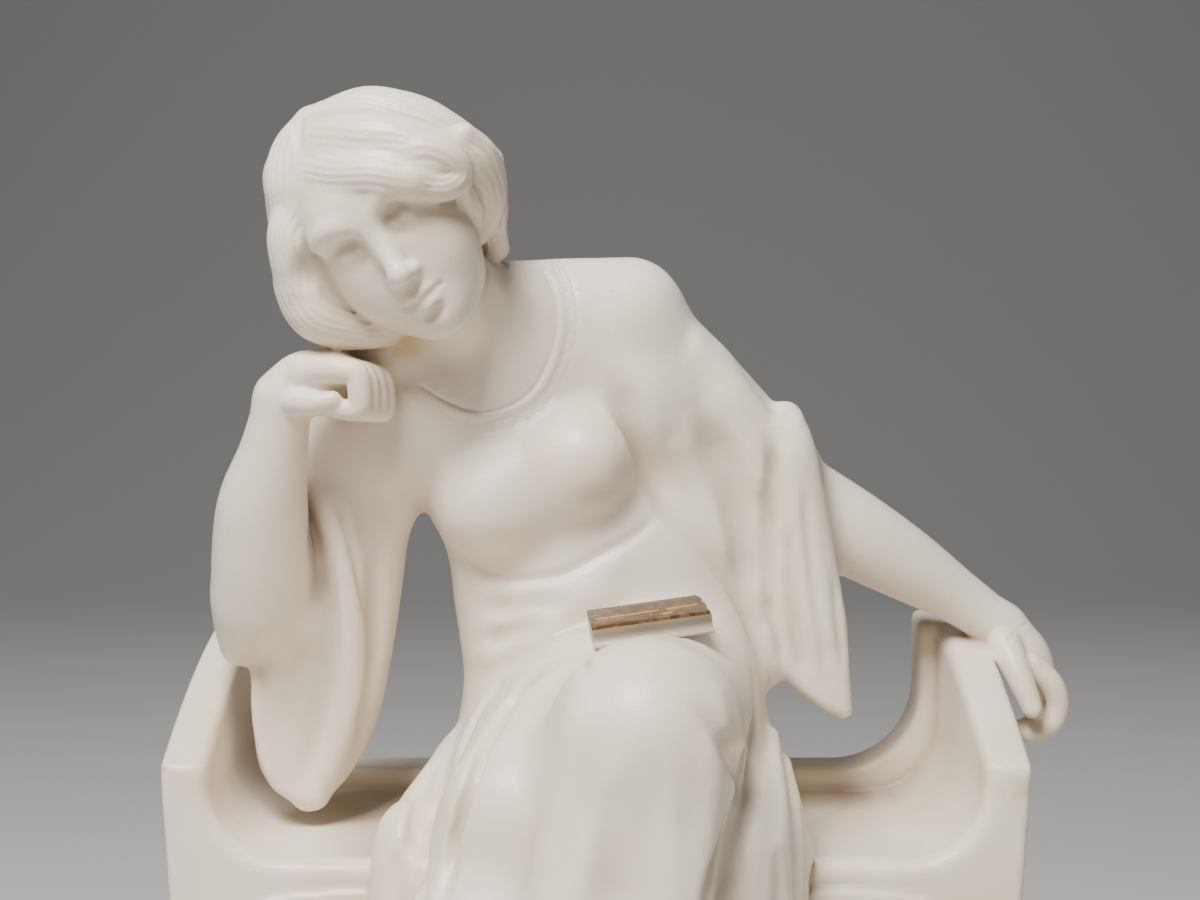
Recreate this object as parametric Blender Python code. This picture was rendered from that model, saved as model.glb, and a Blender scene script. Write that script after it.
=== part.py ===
"""Reading girl: a seated figure on a bench, carved with its base as one block, and the book on her lap.

The figure is built like clay: a block of space holds the distance to the surface, round forms are
blended into it, grooves and folds are cut, and the surface is then skinned and thinned to flat facets.
Points of the figure are in modules. They are measured from the middle of the bench's front face at the
level of the seat: x to the viewer's right, y to the back, z up.
"""
import math

import bpy
import numpy as np

# Driving sizes, in metres.
FIGURE_HEIGHT = 0.200
SEAT_HEIGHT = 0.105
PLINTH_EDGE = 0.005
PLINTH_DEPTH = 0.206
PLINTH_THICKNESS = 0.014
BOOK_LENGTH = 0.0305
BOOK_DEPTH = 0.020
BLOCK_THICKNESS = 0.0042
COVER_THICKNESS = 0.0009
LIP_THICKNESS = 0.0007
COVER_OVERHANG = 0.0006
FORE_EDGE_HOLLOW = 0.0009
CLEARANCE = 0.0003

# The figure and its bench share one block, so their carving is a share of the figure's height.
MODULE = FIGURE_HEIGHT / 200
GRAIN = 1.5
FACETS = 9400
SEAT = SEAT_HEIGHT / MODULE
PLINTH = PLINTH_THICKNESS / MODULE
EDGE = PLINTH_EDGE / MODULE
BENCH_HALF = 113.0
BENCH_DEEP = 98.0
ARM_INSIDE = 101.0
ARM_FRONT_TOP = 25.0
ARM_BACK_TOP = 52.0
BACK_TOP = 6.5
BACK_WALL = 19.0
HEAD_SCALE = 1.12
HEAD_PLACE = (-54.0, 10.0, 167.0)
BOOK_PLACE = (14.0, -2.0, 60.4)
BOOK_TURN = (4.0, -7.6, 3.5)
SHIFT = PLINTH_DEPTH / 2 - PLINTH_EDGE - BENCH_DEEP * MODULE

FAR = 50.0


def smooth_min(a, b, blend):
    if blend <= 0:
        return np.minimum(a, b)
    h = np.maximum(blend - np.abs(a - b), 0) / blend
    return np.minimum(a, b) - h * h * (blend / 4)


def turn(roll=0, pitch=0, yaw=0):
    """Axes turned about Y, X and Z, in degrees."""
    a, b, c = (math.radians(t) for t in (roll, pitch, yaw))
    about_y = np.array([[math.cos(a), 0, math.sin(a)], [0, 1, 0], [-math.sin(a), 0, math.cos(a)]])
    about_x = np.array([[1, 0, 0], [0, math.cos(b), -math.sin(b)], [0, math.sin(b), math.cos(b)]])
    about_z = np.array([[math.cos(c), -math.sin(c), 0], [math.sin(c), math.cos(c), 0], [0, 0, 1]])
    return about_z @ about_y @ about_x


def flow(points, count):
    """A smooth curve through the points, read at count places."""
    p = np.array(points, float)
    if len(p) < 3:
        return p[0] + (p[-1] - p[0]) * np.linspace(0, 1, count)[:, None]
    ends = np.vstack([2 * p[0] - p[1], p, 2 * p[-1] - p[-2]])
    t = np.linspace(0, len(p) - 1 - 1e-9, count)
    i = t.astype(int)
    f = (t - i)[:, None]
    a, b, c, d = ends[i], ends[i + 1], ends[i + 2], ends[i + 3]
    bend = (2 * a - 5 * b + 4 * c - d) * f**2 + (3 * b - a - 3 * c + d) * f**3
    return 0.5 * (2 * b + (c - a) * f + bend)


def spread(values, count):
    values = np.atleast_1d(values)
    return np.interp(np.linspace(0, 1, count), np.linspace(0, 1, len(values)), values)


def round_bar(x, y, z, a, b, ra, rb):
    """Distance to a bar from a to b, whose radius runs from ra to rb."""
    x, y, z = x - a[0], y - a[1], z - a[2]
    d = b - a
    length = float(np.sqrt(d @ d)) + 1e-9
    d = d / length
    slope = min(max((rb - ra) / length, -0.95), 0.95)
    along = x * d[0] + y * d[1] + z * d[2]
    aside = np.sqrt(np.maximum(x * x + y * y + z * z - along * along, 0))
    near = np.clip(along + aside * (slope / math.sqrt(1 - slope * slope)), 0, length)
    return np.sqrt((along - near) ** 2 + aside * aside) - (ra + (rb - ra) * near / length)


def round_box(sides, radius):
    """Distance to a box given by the distances past its sides, with rounded edges."""
    outside = sum(np.maximum(s + radius, 0) ** 2 for s in sides)
    deepest = sides[0]
    for s in sides[1:]:
        deepest = np.maximum(deepest, s)
    return np.sqrt(outside) + np.minimum(deepest + radius, 0) - radius


def outline_distance(u, v, points):
    """Distance in a plane to a closed outline, negative inside."""
    p = np.array(points, float)
    best = np.full(np.broadcast(u, v).shape, 1e9)
    sign = np.ones(best.shape)
    for (ax, ay), (bx, by) in zip(p, np.roll(p, -1, 0)):
        ex, ey = bx - ax, by - ay
        wx, wy = u - ax, v - ay
        h = np.clip((wx * ex + wy * ey) / (ex * ex + ey * ey), 0, 1)
        best = np.minimum(best, (wx - ex * h) ** 2 + (wy - ey * h) ** 2)
        above, below, left = v >= ay, v < by, ex * wy > ey * wx
        sign = np.where((above & below & left) | (~above & ~below & ~left), -sign, sign)
    return sign * np.sqrt(best)


class Clay:
    """A block of space with the distance to the surface at each grid point, negative inside."""

    def __init__(self, low, high, step):
        self.low = np.array(low, float)
        self.step = float(step)
        self.size = [int(math.ceil((h - l) / step)) + 1 for l, h in zip(low, high)]
        self.field = np.full(self.size, FAR, np.float32)

    def window(self, low, high):
        """The grid points between two corners, and their places along each axis."""
        first = [max(0, int(math.floor((l - o) / self.step))) for l, o in zip(low, self.low)]
        last = [int(math.ceil((h - o) / self.step)) + 1 for h, o in zip(high, self.low)]
        last = [max(f, min(n, e)) for f, n, e in zip(first, self.size, last)]
        cut = tuple(slice(a, b) for a, b in zip(first, last))
        axes = [(self.low[i] + self.step * np.arange(first[i], last[i])).astype(np.float32) for i in range(3)]
        return cut, axes[0][:, None, None], axes[1][None, :, None], axes[2][None, None, :]

    def merge(self, cut, distance, blend, carve):
        old = self.field[cut]
        if carve:
            self.field[cut] = -smooth_min(-old, distance, blend)
        else:
            self.field[cut] = smooth_min(old, distance, blend)

    def ball(self, centre, radii, blend=0.0, axes=None, carve=False):
        a, b, c = radii
        reach = (np.abs(axes) if axes is not None else np.eye(3)) @ np.array(radii) + blend + 2 * self.step
        cut, x, y, z = self.window(np.array(centre) - reach, np.array(centre) + reach)
        x, y, z = x - centre[0], y - centre[1], z - centre[2]
        if axes is not None:
            x, y, z = (axes[0, i] * x + axes[1, i] * y + axes[2, i] * z for i in range(3))
        near = np.sqrt((x / a) ** 2 + (y / b) ** 2 + (z / c) ** 2) + 1e-6
        steep = np.sqrt((x / a**2) ** 2 + (y / b**2) ** 2 + (z / c**2) ** 2) + 1e-6
        self.merge(cut, (near * (near - 1) / steep).astype(np.float32), blend, carve)

    def rope(self, points, radii, blend=0.0, carve=False):
        """A round bar along a smooth curve through the points."""
        count = 2 if len(points) == 2 else 6 * (len(points) - 1) + 1
        path = flow(points, count)
        size = np.maximum(flow(spread(radii, len(points))[:, None], count)[:, 0], 0.05)
        margin = blend + 2 * self.step
        reach = size.max() + margin
        cut, x, y, z = self.window(path.min(0) - reach, path.max(0) + reach)
        total = np.full([s.stop - s.start for s in cut], FAR, np.float32)
        for a, b, ra, rb in zip(path[:-1], path[1:], size[:-1], size[1:]):
            reach = max(ra, rb) + margin
            piece = self.window(np.minimum(a, b) - reach, np.maximum(a, b) + reach)[0]
            here = tuple(slice(max(p.start - c.start, 0), p.stop - c.start) for p, c in zip(piece, cut))
            bar = round_bar(x[here[0]], y[:, here[1]], z[:, :, here[2]], a, b, ra, rb)
            total[here] = np.minimum(total[here], bar)
        self.merge(cut, total, blend, carve)

    def shape(self, low, high, distance, blend=0.0, carve=False):
        """Any form given by its own distance function, inside the box from low to high."""
        reach = blend + 2 * self.step
        cut, x, y, z = self.window(np.array(low) - reach, np.array(high) + reach)
        found = np.broadcast_to(distance(x, y, z), self.field[cut].shape)
        self.merge(cut, found.astype(np.float32), blend, carve)

    def depth(self, x, z, side):
        """Where the surface is first met from the front (side -1) or from the back (side 1)."""
        i = min(max(int(round((x - self.low[0]) / self.step)), 0), self.size[0] - 1)
        k = min(max(int(round((z - self.low[2]) / self.step)), 0), self.size[2] - 1)
        column = self.field[i, :, k][::-side]
        inside = np.nonzero(column < 0)[0]
        if len(inside) == 0 or inside[0] == 0:
            j = float(np.argmin(column))
        else:
            before, after = column[inside[0] - 1], column[inside[0]]
            j = inside[0] - 1 + before / (before - after)
        if side > 0:
            j = self.size[1] - 1 - j
        return self.low[1] + self.step * j

    def fold(self, points, radii, height, blend=3.5, carve=False, side=-1):
        """A ridge, or with carve a groove, that follows the surface and fades out at both ends.

        The points are (x, z) as seen from the front, or from the back with side 1.
        """
        count = 5 * (len(points) - 1) + 1
        path = flow(points, count)
        share = np.linspace(0, 1, count)
        fade = np.clip(share / 0.22, 0, 1) * np.clip((1 - share) / 0.22, 0, 1)
        fade = fade * fade * (3 - 2 * fade)
        size = spread(radii, count)
        proud = -0.9 * blend + (spread(height, count) + 0.65 * blend) * fade
        depth = np.array([self.depth(x, z, side) for x, z in path])
        for _ in range(3):
            depth[1:-1] = (depth[:-2] + 2 * depth[1:-1] + depth[2:]) / 4
        sunk = side * (size - proud) * (1 if carve else -1)
        self.rope(np.column_stack([path[:, 0], depth + sunk, path[:, 1]]), size, blend, carve)

    def stamp(self, other, origin, axes, scale, blend):
        """Sets another block into this one, turned by axes, with its own zero at origin."""
        reach = [other.step * (n - 1) for n in other.size]
        corners = [[other.low[i] + reach[i] * ((n >> i) & 1) for i in range(3)] for n in range(8)]
        world = np.array(corners) @ axes.T * scale + origin
        cut, x, y, z = self.window(world.min(0), world.max(0))
        x, y, z = (x - origin[0]) / scale, (y - origin[1]) / scale, (z - origin[2]) / scale
        place = [axes[0, i] * x + axes[1, i] * y + axes[2, i] * z for i in range(3)]
        place = [(p - low) / other.step for p, low in zip(place, other.low)]
        inside = np.ones(place[0].shape, bool)
        for p, n in zip(place, other.size):
            inside &= (p >= 0) & (p <= n - 1.001)
        spots = [p[inside] for p in place]
        whole = [s.astype(np.int32) for s in spots]
        part = [s - w for s, w in zip(spots, whole)]
        value = 0
        for n in range(8):
            bit = [(n >> i) & 1 for i in range(3)]
            weight = 1
            for p, b in zip(part, bit):
                weight = weight * (p if b else 1 - p)
            value = value + weight * other.field[tuple(w + b for w, b in zip(whole, bit))]
        found = np.full(inside.shape, FAR, np.float32)
        found[inside] = value * scale
        self.merge(cut, found, blend, False)


def bench(clay):
    """The bench: a block with high ends, hollowed to a seat, with a low wall behind it."""

    def block(x, y, z):
        rise = np.clip(y / BENCH_DEEP, 0, 1)
        top = ARM_FRONT_TOP + (ARM_BACK_TOP - ARM_FRONT_TOP) * (1 - (1 - rise) ** 1.7)
        taper = np.maximum(0.06 * (ARM_FRONT_TOP - z), 0)
        ends = np.abs(x) - BENCH_HALF + taper
        return round_box([ends, np.maximum(-y, y - BENCH_DEEP), np.maximum(z - top, -SEAT - 4 - z)], 1.6)

    def hollow(half, floor, corner, front, back):
        def distance(x, y, z):
            section = round_box([np.abs(x) - half, floor - z], corner)
            return np.maximum(section, np.maximum(front - y, y - back))
        return distance

    def panel(x, y, z):
        edge = -7.5 - 2.5 * np.clip((np.abs(x) - 55) / 32, 0, 2) ** 2
        section = round_box([np.abs(x) - 90, np.maximum(z - edge, 12 - SEAT - z)], 6)
        return np.maximum(section, np.maximum(-1.3 - y, y - 4))

    wall = BENCH_DEEP - BACK_WALL
    clay.shape((-BENCH_HALF, 0, -SEAT - 4), (BENCH_HALF, BENCH_DEEP, ARM_BACK_TOP), block)
    seat = hollow(ARM_INSIDE, 0, 20, -20, wall)
    clay.shape((-ARM_INSIDE, -6, 0), (ARM_INSIDE, wall, ARM_BACK_TOP + 8), seat, 5, carve=True)
    notch = hollow(96, BACK_TOP, 24, wall - 15, BENCH_DEEP + 10)
    clay.shape((-96, wall - 15, BACK_TOP), (96, BENCH_DEEP + 6, ARM_BACK_TOP + 8), notch, 3, carve=True)
    clay.shape((-90, -1.5, 12 - SEAT), (90, 4, -7), panel, 1)


def plinth(clay):
    """The low base, under the bench and the hem of the gown."""
    half = BENCH_HALF + EDGE
    back = BENCH_DEEP + EDGE
    front = back - PLINTH_DEPTH / MODULE

    def slab(x, y, z):
        return round_box([np.abs(x) - half, np.maximum(front - y, y - back),
                          np.maximum(z + SEAT, -SEAT - PLINTH - z)], 2)

    clay.shape((-half, front, -SEAT - PLINTH), (half, back, -SEAT), slab, 2)


def head():
    """The head upright in a block of its own: chin at z = 0, face towards -y."""
    clay = Clay((-34, -36, -14), (34, 42, 66), GRAIN * 0.7)

    def pair(points, radii, blend, carve=False):
        clay.rope(points, radii, blend, carve)
        clay.rope([(-x, y, z) for x, y, z in points], radii, blend, carve)

    def balls(centre, radii, blend, carve=False):
        clay.ball(centre, radii, blend, carve=carve)
        clay.ball((-centre[0], centre[1], centre[2]), radii, blend, carve=carve)

    clay.ball((0, 4, 35), (19.5, 23.5, 20.5))
    clay.ball((0, -7, 23), (17, 14.5, 23.5), 8)
    clay.ball((0, -9, 13), (12.5, 11, 12), 6)
    clay.ball((0, -15.5, 4.5), (5.5, 5, 5), 6)
    balls((10, -12, 19), (5.5, 5.5, 6.5), 6)
    clay.ball((0, -17, 33.5), (11, 3.4, 4), 6)
    balls((8.2, -22, 28.3), (5.2, 3.6, 3.2), 3.5, carve=True)
    balls((8.1, -15.2, 27.2), (5.2, 5.2, 4.4), 0.8)
    clay.rope([(0, -19.4, 32), (0, -22.6, 25), (0, -26, 18.6)], [2, 2.2, 2.5], 3)
    clay.ball((0, -25.8, 17.9), (2.7, 2.5, 2.3), 1.6)
    balls((2.9, -22.8, 17.2), (1.9, 2.5, 1.7), 1.6)
    pair([(5.6, -18.6, 10.9), (2.6, -21, 11.9), (0, -21.6, 11.6)], [0.9, 1.5, 1.4], 1.2)
    pair([(5, -18.8, 10), (2.4, -20.9, 8.9), (0, -21.3, 8.7)], [0.9, 1.6, 1.8], 1.2)
    pair([(6, -19.6, 10.8), (2.6, -22.6, 10.6), (0, -23.1, 10.2)], [0.5, 0.6, 0.6], 0.8, carve=True)
    clay.ball((0, -21.8, 5.9), (3.2, 1.5, 1.3), 1.6, carve=True)
    clay.ball((0, 8, 34.5), (21.5, 21, 20), 1)
    clay.ball((0, 27, 20), (13, 10, 11), 3)
    clay.rope([(-9, 29, 24), (0, 37, 29), (10, 33, 22), (4, 31, 12), (-8, 30, 14)],
              [4, 4.5, 4.5, 4.5, 3.5], 1.2)
    return clay


def hair(clay):
    """Locks laid over the head, where they lie on the whole figure."""
    # The wave swept from the parting over the brow, with its rolled lower edge.
    clay.rope([(-72.5, -0.5, 178), (-64.5, -9.5, 176.8), (-54.5, -14, 175.8), (-46, -14.8, 174.6)],
              [4.2, 5.2, 5.6, 4.8], 2.2)
    clay.rope([(-71.5, 1, 185.5), (-60.5, -7, 185.5), (-49.5, -10, 184), (-40, -8, 182.5)],
              [5.6, 7, 7, 5.6], 3.5)
    clay.rope([(-70.5, 10, 191), (-58.5, 6, 193.6), (-46.5, 5, 191), (-37, 8, 186.5), (-29.5, 17, 181)],
              [5, 6.2, 6.4, 6, 5.5], 3.5)
    clay.rope([(-68, 20, 192), (-56, 18, 194), (-44, 18, 191), (-34, 24, 184)], [6, 6.5, 6.5, 5.5], 4)
    # The curl at her left temple, the hair over the ear and the small locks at the nape.
    clay.rope([(-44, -4, 179), (-35, 0, 178), (-31, 8, 173), (-31.5, 17, 167)], [8, 8, 7.5, 6.5], 4)
    clay.rope([(-47, -12.5, 182.5), (-40.5, -13, 182.3), (-35.3, -10.8, 179.5), (-34.8, -10.5, 175.3),
               (-39.5, -13.2, 172.8), (-46, -14.6, 173.8)], [3, 3.7, 4, 4, 3.8, 3], 1.6)
    clay.ball((-40, -15.5, 178), (2.6, 2.4, 1.6), 1.8, carve=True)
    clay.rope([(-36, -5, 184), (-30.5, -1, 180.5), (-28.4, 5, 175.5), (-29, 9, 169.5), (-31.5, 13, 163)],
              [4, 4.8, 5, 4.6, 3.6], 2.6)
    clay.rope([(-29, 15, 177), (-27.3, 18, 171), (-27.6, 22, 165), (-26.8, 27, 159.5)], [4, 4.2, 4, 3.6],
              2.4)
    # The waves from the parting past the cheek to the hand.
    clay.rope([(-73, 8, 189.5), (-76, 4, 182.5), (-77.3, 1.5, 174.5), (-77, 3, 167)], [5.2, 6.8, 7, 5.8], 3)
    clay.rope([(-74.5, 0.5, 169), (-77, 0, 163), (-76.8, 1, 156.5), (-75.5, 3, 150)], [5, 6.2, 6.4, 6.2],
              2.4)
    clay.rope([(-76, 7, 156), (-75.5, 5, 148), (-71.5, 5, 141.5), (-63, 8, 138.5), (-55, 12, 139)],
              [6, 6.8, 7, 6, 6], 2.5)
    clay.rope([(-71, 2, 184), (-72.5, 0.5, 175), (-71.5, 1.5, 166), (-70, 5, 156), (-68.5, 8, 147)],
              [7, 7, 6.6, 7, 7.6], 3)
    clay.ball((-72.5, -4.5, 152.5), (3.4, 3.4, 5), 2.5, carve=True)
    # The back of the head down to the nape.
    clay.rope([(-75.5, 22, 177), (-70.5, 26, 161.5), (-60.5, 28, 148)], [12.5, 15, 13], 6)


def torso(clay):
    clay.ball((2.5, 44, 21.5), (41, 30, 27), 6)
    clay.ball((1, 42, 49), (38, 26, 30), 12, turn(roll=-6))
    clay.ball((-8.5, 42, 73.5), (32, 21.5, 26), 12, turn(roll=-18))
    clay.ball((-19, 40, 101.5), (31, 21, 30), 10, turn(roll=-26))
    clay.ball((16.5, 46, 73), (20, 20, 32), 12, turn(roll=-35))
    clay.ball((8, 42, 121), (17, 16, 24), 10, turn(roll=-30))
    # Shoulders and neck.
    clay.rope([(-53, 34, 104.5), (-32, 38, 120.5), (-10, 42, 134.5), (10, 44, 141.5)], [12, 17, 17, 12.5],
              8)
    clay.rope([(-30, 36, 128), (-48, 34, 121), (-61.5, 36, 112), (-70, 38, 104)], [14, 14.5, 14.5, 12.5], 8)
    clay.ball((-51, 25, 139), (11, 10, 12), 7)
    clay.ball((-60, 24, 132.5), (10, 9, 9), 6)
    clay.rope([(-31.5, 32, 146), (-10, 40, 145.5), (8.5, 44, 144)], [10, 11, 12], 8)
    clay.rope([(-39, 20, 148), (-32.5, 30, 137.5), (-28.5, 38, 126.5)], [13, 12.4, 15], 6)
    # Bust under the gown, bridged by the cloth.
    clay.ball((-16, 29, 97), (17, 13.5, 13), 9, turn(roll=-26))
    clay.ball((-3.5, 26.5, 102.5), (13.5, 14.5, 14), 7)
    clay.ball((-29, 26, 90.5), (14, 13.5, 13), 8)


def right_arm(clay):
    """Her right arm, at the viewer's left: elbow on the bench end, fist under the head."""
    clay.rope([(-53.5, 36, 102.5), (-68, 40, 93.5), (-81.5, 42, 73.5), (-93, 42, 59)], [12, 12.5, 13, 12],
              6)
    forearm = [(-81, 8, 119.5), (-84.5, 12, 105), (-88.5, 18, 90), (-90, 26, 71.5), (-91.5, 32, 60.5)]
    clay.rope(forearm, [7.2, 9, 12, 13.6, 12], 3)
    clay.rope([(-91, 30, 64), (-97.5, 34, 51)], [12, 5.5], 5)
    # Hanging sleeve.
    clay.rope([(-57.5, 36, 91), (-62, 40, 57), (-68, 42, 27.5), (-77.5, 38, 8.5)], [6.5, 6.5, 6, 3], 5)
    clay.ball((-65, 38, 92), (13, 8, 15), 8)
    roll = [(-80, 34, 98), (-74, 29.5, 94), (-70, 27, 85), (-68, 26, 74), (-66.8, 27, 60), (-67, 29.5, 43),
            (-70.5, 32.5, 25), (-77, 35.5, 9.5)]
    clay.rope(roll, [3, 4.2, 4.4, 4.2, 4, 4, 3.8, 2.4], 3.5)
    clay.rope([(-81, 34, 58), (-86, 38, 35), (-86.5, 38, 18.5), (-81, 36, 8.5)], [9, 8, 7, 3], 6)
    clay.rope([(-68, 40, 74), (-71.5, 42, 45.5), (-75.5, 40, 18)], [12, 10, 5], 6)
    inside = [(-79, 21, 87), (-75.5, 22, 81), (-73, 22.5, 73), (-71.8, 24.5, 60), (-72.5, 27, 43), (-76, 30, 30)]
    clay.rope(inside, [0.8, 1.8, 2.2, 2.2, 1.8, 0.8], 2.5, carve=True)
    # Fist: the back of the hand, four hooked fingers one behind the other, and the thumb.
    clay.rope([(-81.5, 9, 120), (-76, 8, 124.8), (-69, 8, 126)], [7.2, 7.2, 6.6], 2.5)
    clay.rope([(-74, 8, 122.5), (-66, 9, 122.3), (-60.5, 11, 121.5)], [7, 7.4, 6.4], 2.5)
    for finger in range(4):
        thin = 1 - 0.05 * finger
        x, y, z = 1.7 * finger, 4.6 * finger, -0.5 * finger
        clay.rope([(-75 + x, 3 + y, 127 + z), (-68 + x, 0.5 + y, 127.6 + z),
                   (-64 + x, -0.5 + y, 127.2 + z)], [3.4, 3.4, 3.3], 2.6)
        curl = [(-66 + x, -0.2 + y, 127.4 + z), (-61.4 + x, -0.8 + y, 126.6 + z), (-60.2 + x, -1 + y, 122 + z),
                (-60.7 + x, -0.8 + y, 117.6 + z), (-65.8 + x, 0.4 + y, 117.4 + z)]
        clay.rope(curl, [3.3 * thin, 3.3 * thin, 3.1 * thin, 2.9 * thin, 2.6 * thin], 0.5)
    clay.rope([(-77, 2, 119.5), (-71.5, -0.5, 119), (-67, -1.5, 120)], [3.6, 3, 2.2], 1.6)


def left_arm(clay):
    """Her left arm, at the viewer's right: stretched down to the other bench end."""
    clay.rope([(8.5, 44, 140.5), (29, 52, 119), (49, 58, 98.5)], [13.5, 14, 12.5], 6)
    forearm = [(54, 60, 91.5), (73, 62, 79.5), (89, 64, 70), (104, 66, 60.5), (117.5, 66, 51)]
    clay.rope(forearm, [12.5, 12.3, 10.5, 8, 6.8], 4)
    clay.rope([(117.5, 66, 51), (124, 62, 41.5), (127, 58, 34.5)], [6.8, 7.8, 7.4], 2.5)
    for finger in range(4):
        x, y, z = 2.1 * finger, 5 * finger, 0.6 * finger
        curl = [(119.5 + x, 50 + y, 40), (122.5 + 0.9 * x, 47 + y, 32.5), (122 + 0.7 * x, 47 + y, 26.5 - z)]
        clay.rope(curl, [3.7, 3.3, 2.8], 0.8)
    clay.rope([(117.5, 56, 47.5), (114, 48, 41.5), (116.5, 46, 35.5)], [3.8, 3.4, 2.8], 1.5)


def left_sleeve(clay):
    """The wide sleeve that falls from her left arm, with its flutes."""
    edge = [(11.5, 118), (14, 101), (18.5, 91.5), (37, 64), (45.5, 46), (48.5, 40), (52.4, 40.5), (57, 36), (63, 31.5),
            (68.8, 28.5), (71.7, 30), (71, 39.5), (70, 56), (67, 72.5), (64, 89), (61.5, 102), (58.8, 109.5),
            (56.5, 113), (48.5, 113.5), (28, 134.5)]

    def cloth(x, y, z):
        middle = 46 + 0.1 * (x - 30)
        return round_box([outline_distance(x, z, edge), np.abs(y - middle) - 8.5], 3)

    clay.shape((11, 32, 27), (72, 64, 135), cloth, 6)
    # The roll along the outer edge, and the upper arm that shows as a tongue beside it.
    clay.fold([(53, 113), (54.5, 100), (57, 80), (61, 58), (66, 36)], [4.5, 5.5, 5.5, 5, 3.5], 3, 3.5)
    clay.fold([(30, 126), (38, 112), (43.5, 100), (45.5, 90)], [7, 7, 5.5, 3], 1.6, 4)
    clay.fold([(20, 119), (25, 100), (33, 84), (39, 70)], [5.5, 6, 5.5, 3.5], 1.8, 4)
    clay.fold([(46.5, 56), (48, 49), (49, 43)], [2.5, 2.5, 2], 1.2, 2.5)
    # The hollow between them, and the narrow lines down to the hem.
    clay.fold([(29, 116), (35, 102), (40, 88), (43, 74), (44.5, 62)], [2.5, 4, 5, 5, 3],
              [1.5, 2.6, 3.4, 3, 1.5], 4, True)
    clay.fold([(48.5, 111), (48.5, 98), (48, 84), (48, 68), (49.5, 52)], [1.2, 1.8, 2.4, 2.2, 1.5],
              [1.6, 2.4, 2.6, 2, 1], 2.6, True)
    clay.fold([(55.5, 84), (57.5, 66), (60, 50), (63, 38)], [1.2, 1.8, 1.8, 1.2], 1.3, 2, True)
    clay.fold([(52, 76), (53, 62), (55, 48), (58, 38)], [1, 1.6, 1.6, 1], 1, 2, True)


def lap_and_skirt(clay):
    floor = -SEAT
    # The left thigh, crossed over the right one, then the legs under the gown.
    clay.rope([(24, 45, 40), (21, 15, 39.5), (15.5, -10, 39.5), (12, -34, 40)], [22, 22, 22, 21.5], 10)
    clay.ball((-3, 4, 43), (17, 20, 15), 8)
    clay.rope([(-6, 44, 22.5), (-12, 10, 21.5), (-18, -22, 18)], [26, 24, 21], 12)
    clay.rope([(12, -34, 39.5), (3, -44, -12), (-8, -46, -60), (-14, -48, floor + 4)], [21, 23, 27, 31], 10)
    clay.rope([(-22, -22, 0), (-26, -32, -20), (-27, -36, -60), (-28, -38, floor + 4)], [20, 24, 28, 33],
              10)
    clay.rope([(0, 20, 0), (0, -8, -40), (2, -16, -75), (2, -20, floor + 4)], [42, 42, 44, 50], 12)
    # Cloth gathered over the edge of the seat on both sides.
    clay.rope([(-36, 28, 18), (-45, 9, 8), (-48.5, -3, 0), (-45, -10, -60), (-46, -14, floor + 4)],
              [9, 9, 9.5, 14, 18], 7)
    clay.rope([(37, 26, 24), (42, 7, 14), (43.5, -4, 2), (40, -12, -60), (42, -16, floor + 4)],
              [9, 10.5, 11, 14, 18], 7)
    clay.rope([(29.5, 30, 34), (32.5, 5, 18), (32.5, -20, 6), (30, -26, -60), (30, -28, floor + 4)],
              [14, 15, 16, 20, 26], 8)
    clay.ball((50, 0, 3), (6, 8, 5), 4)


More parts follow.
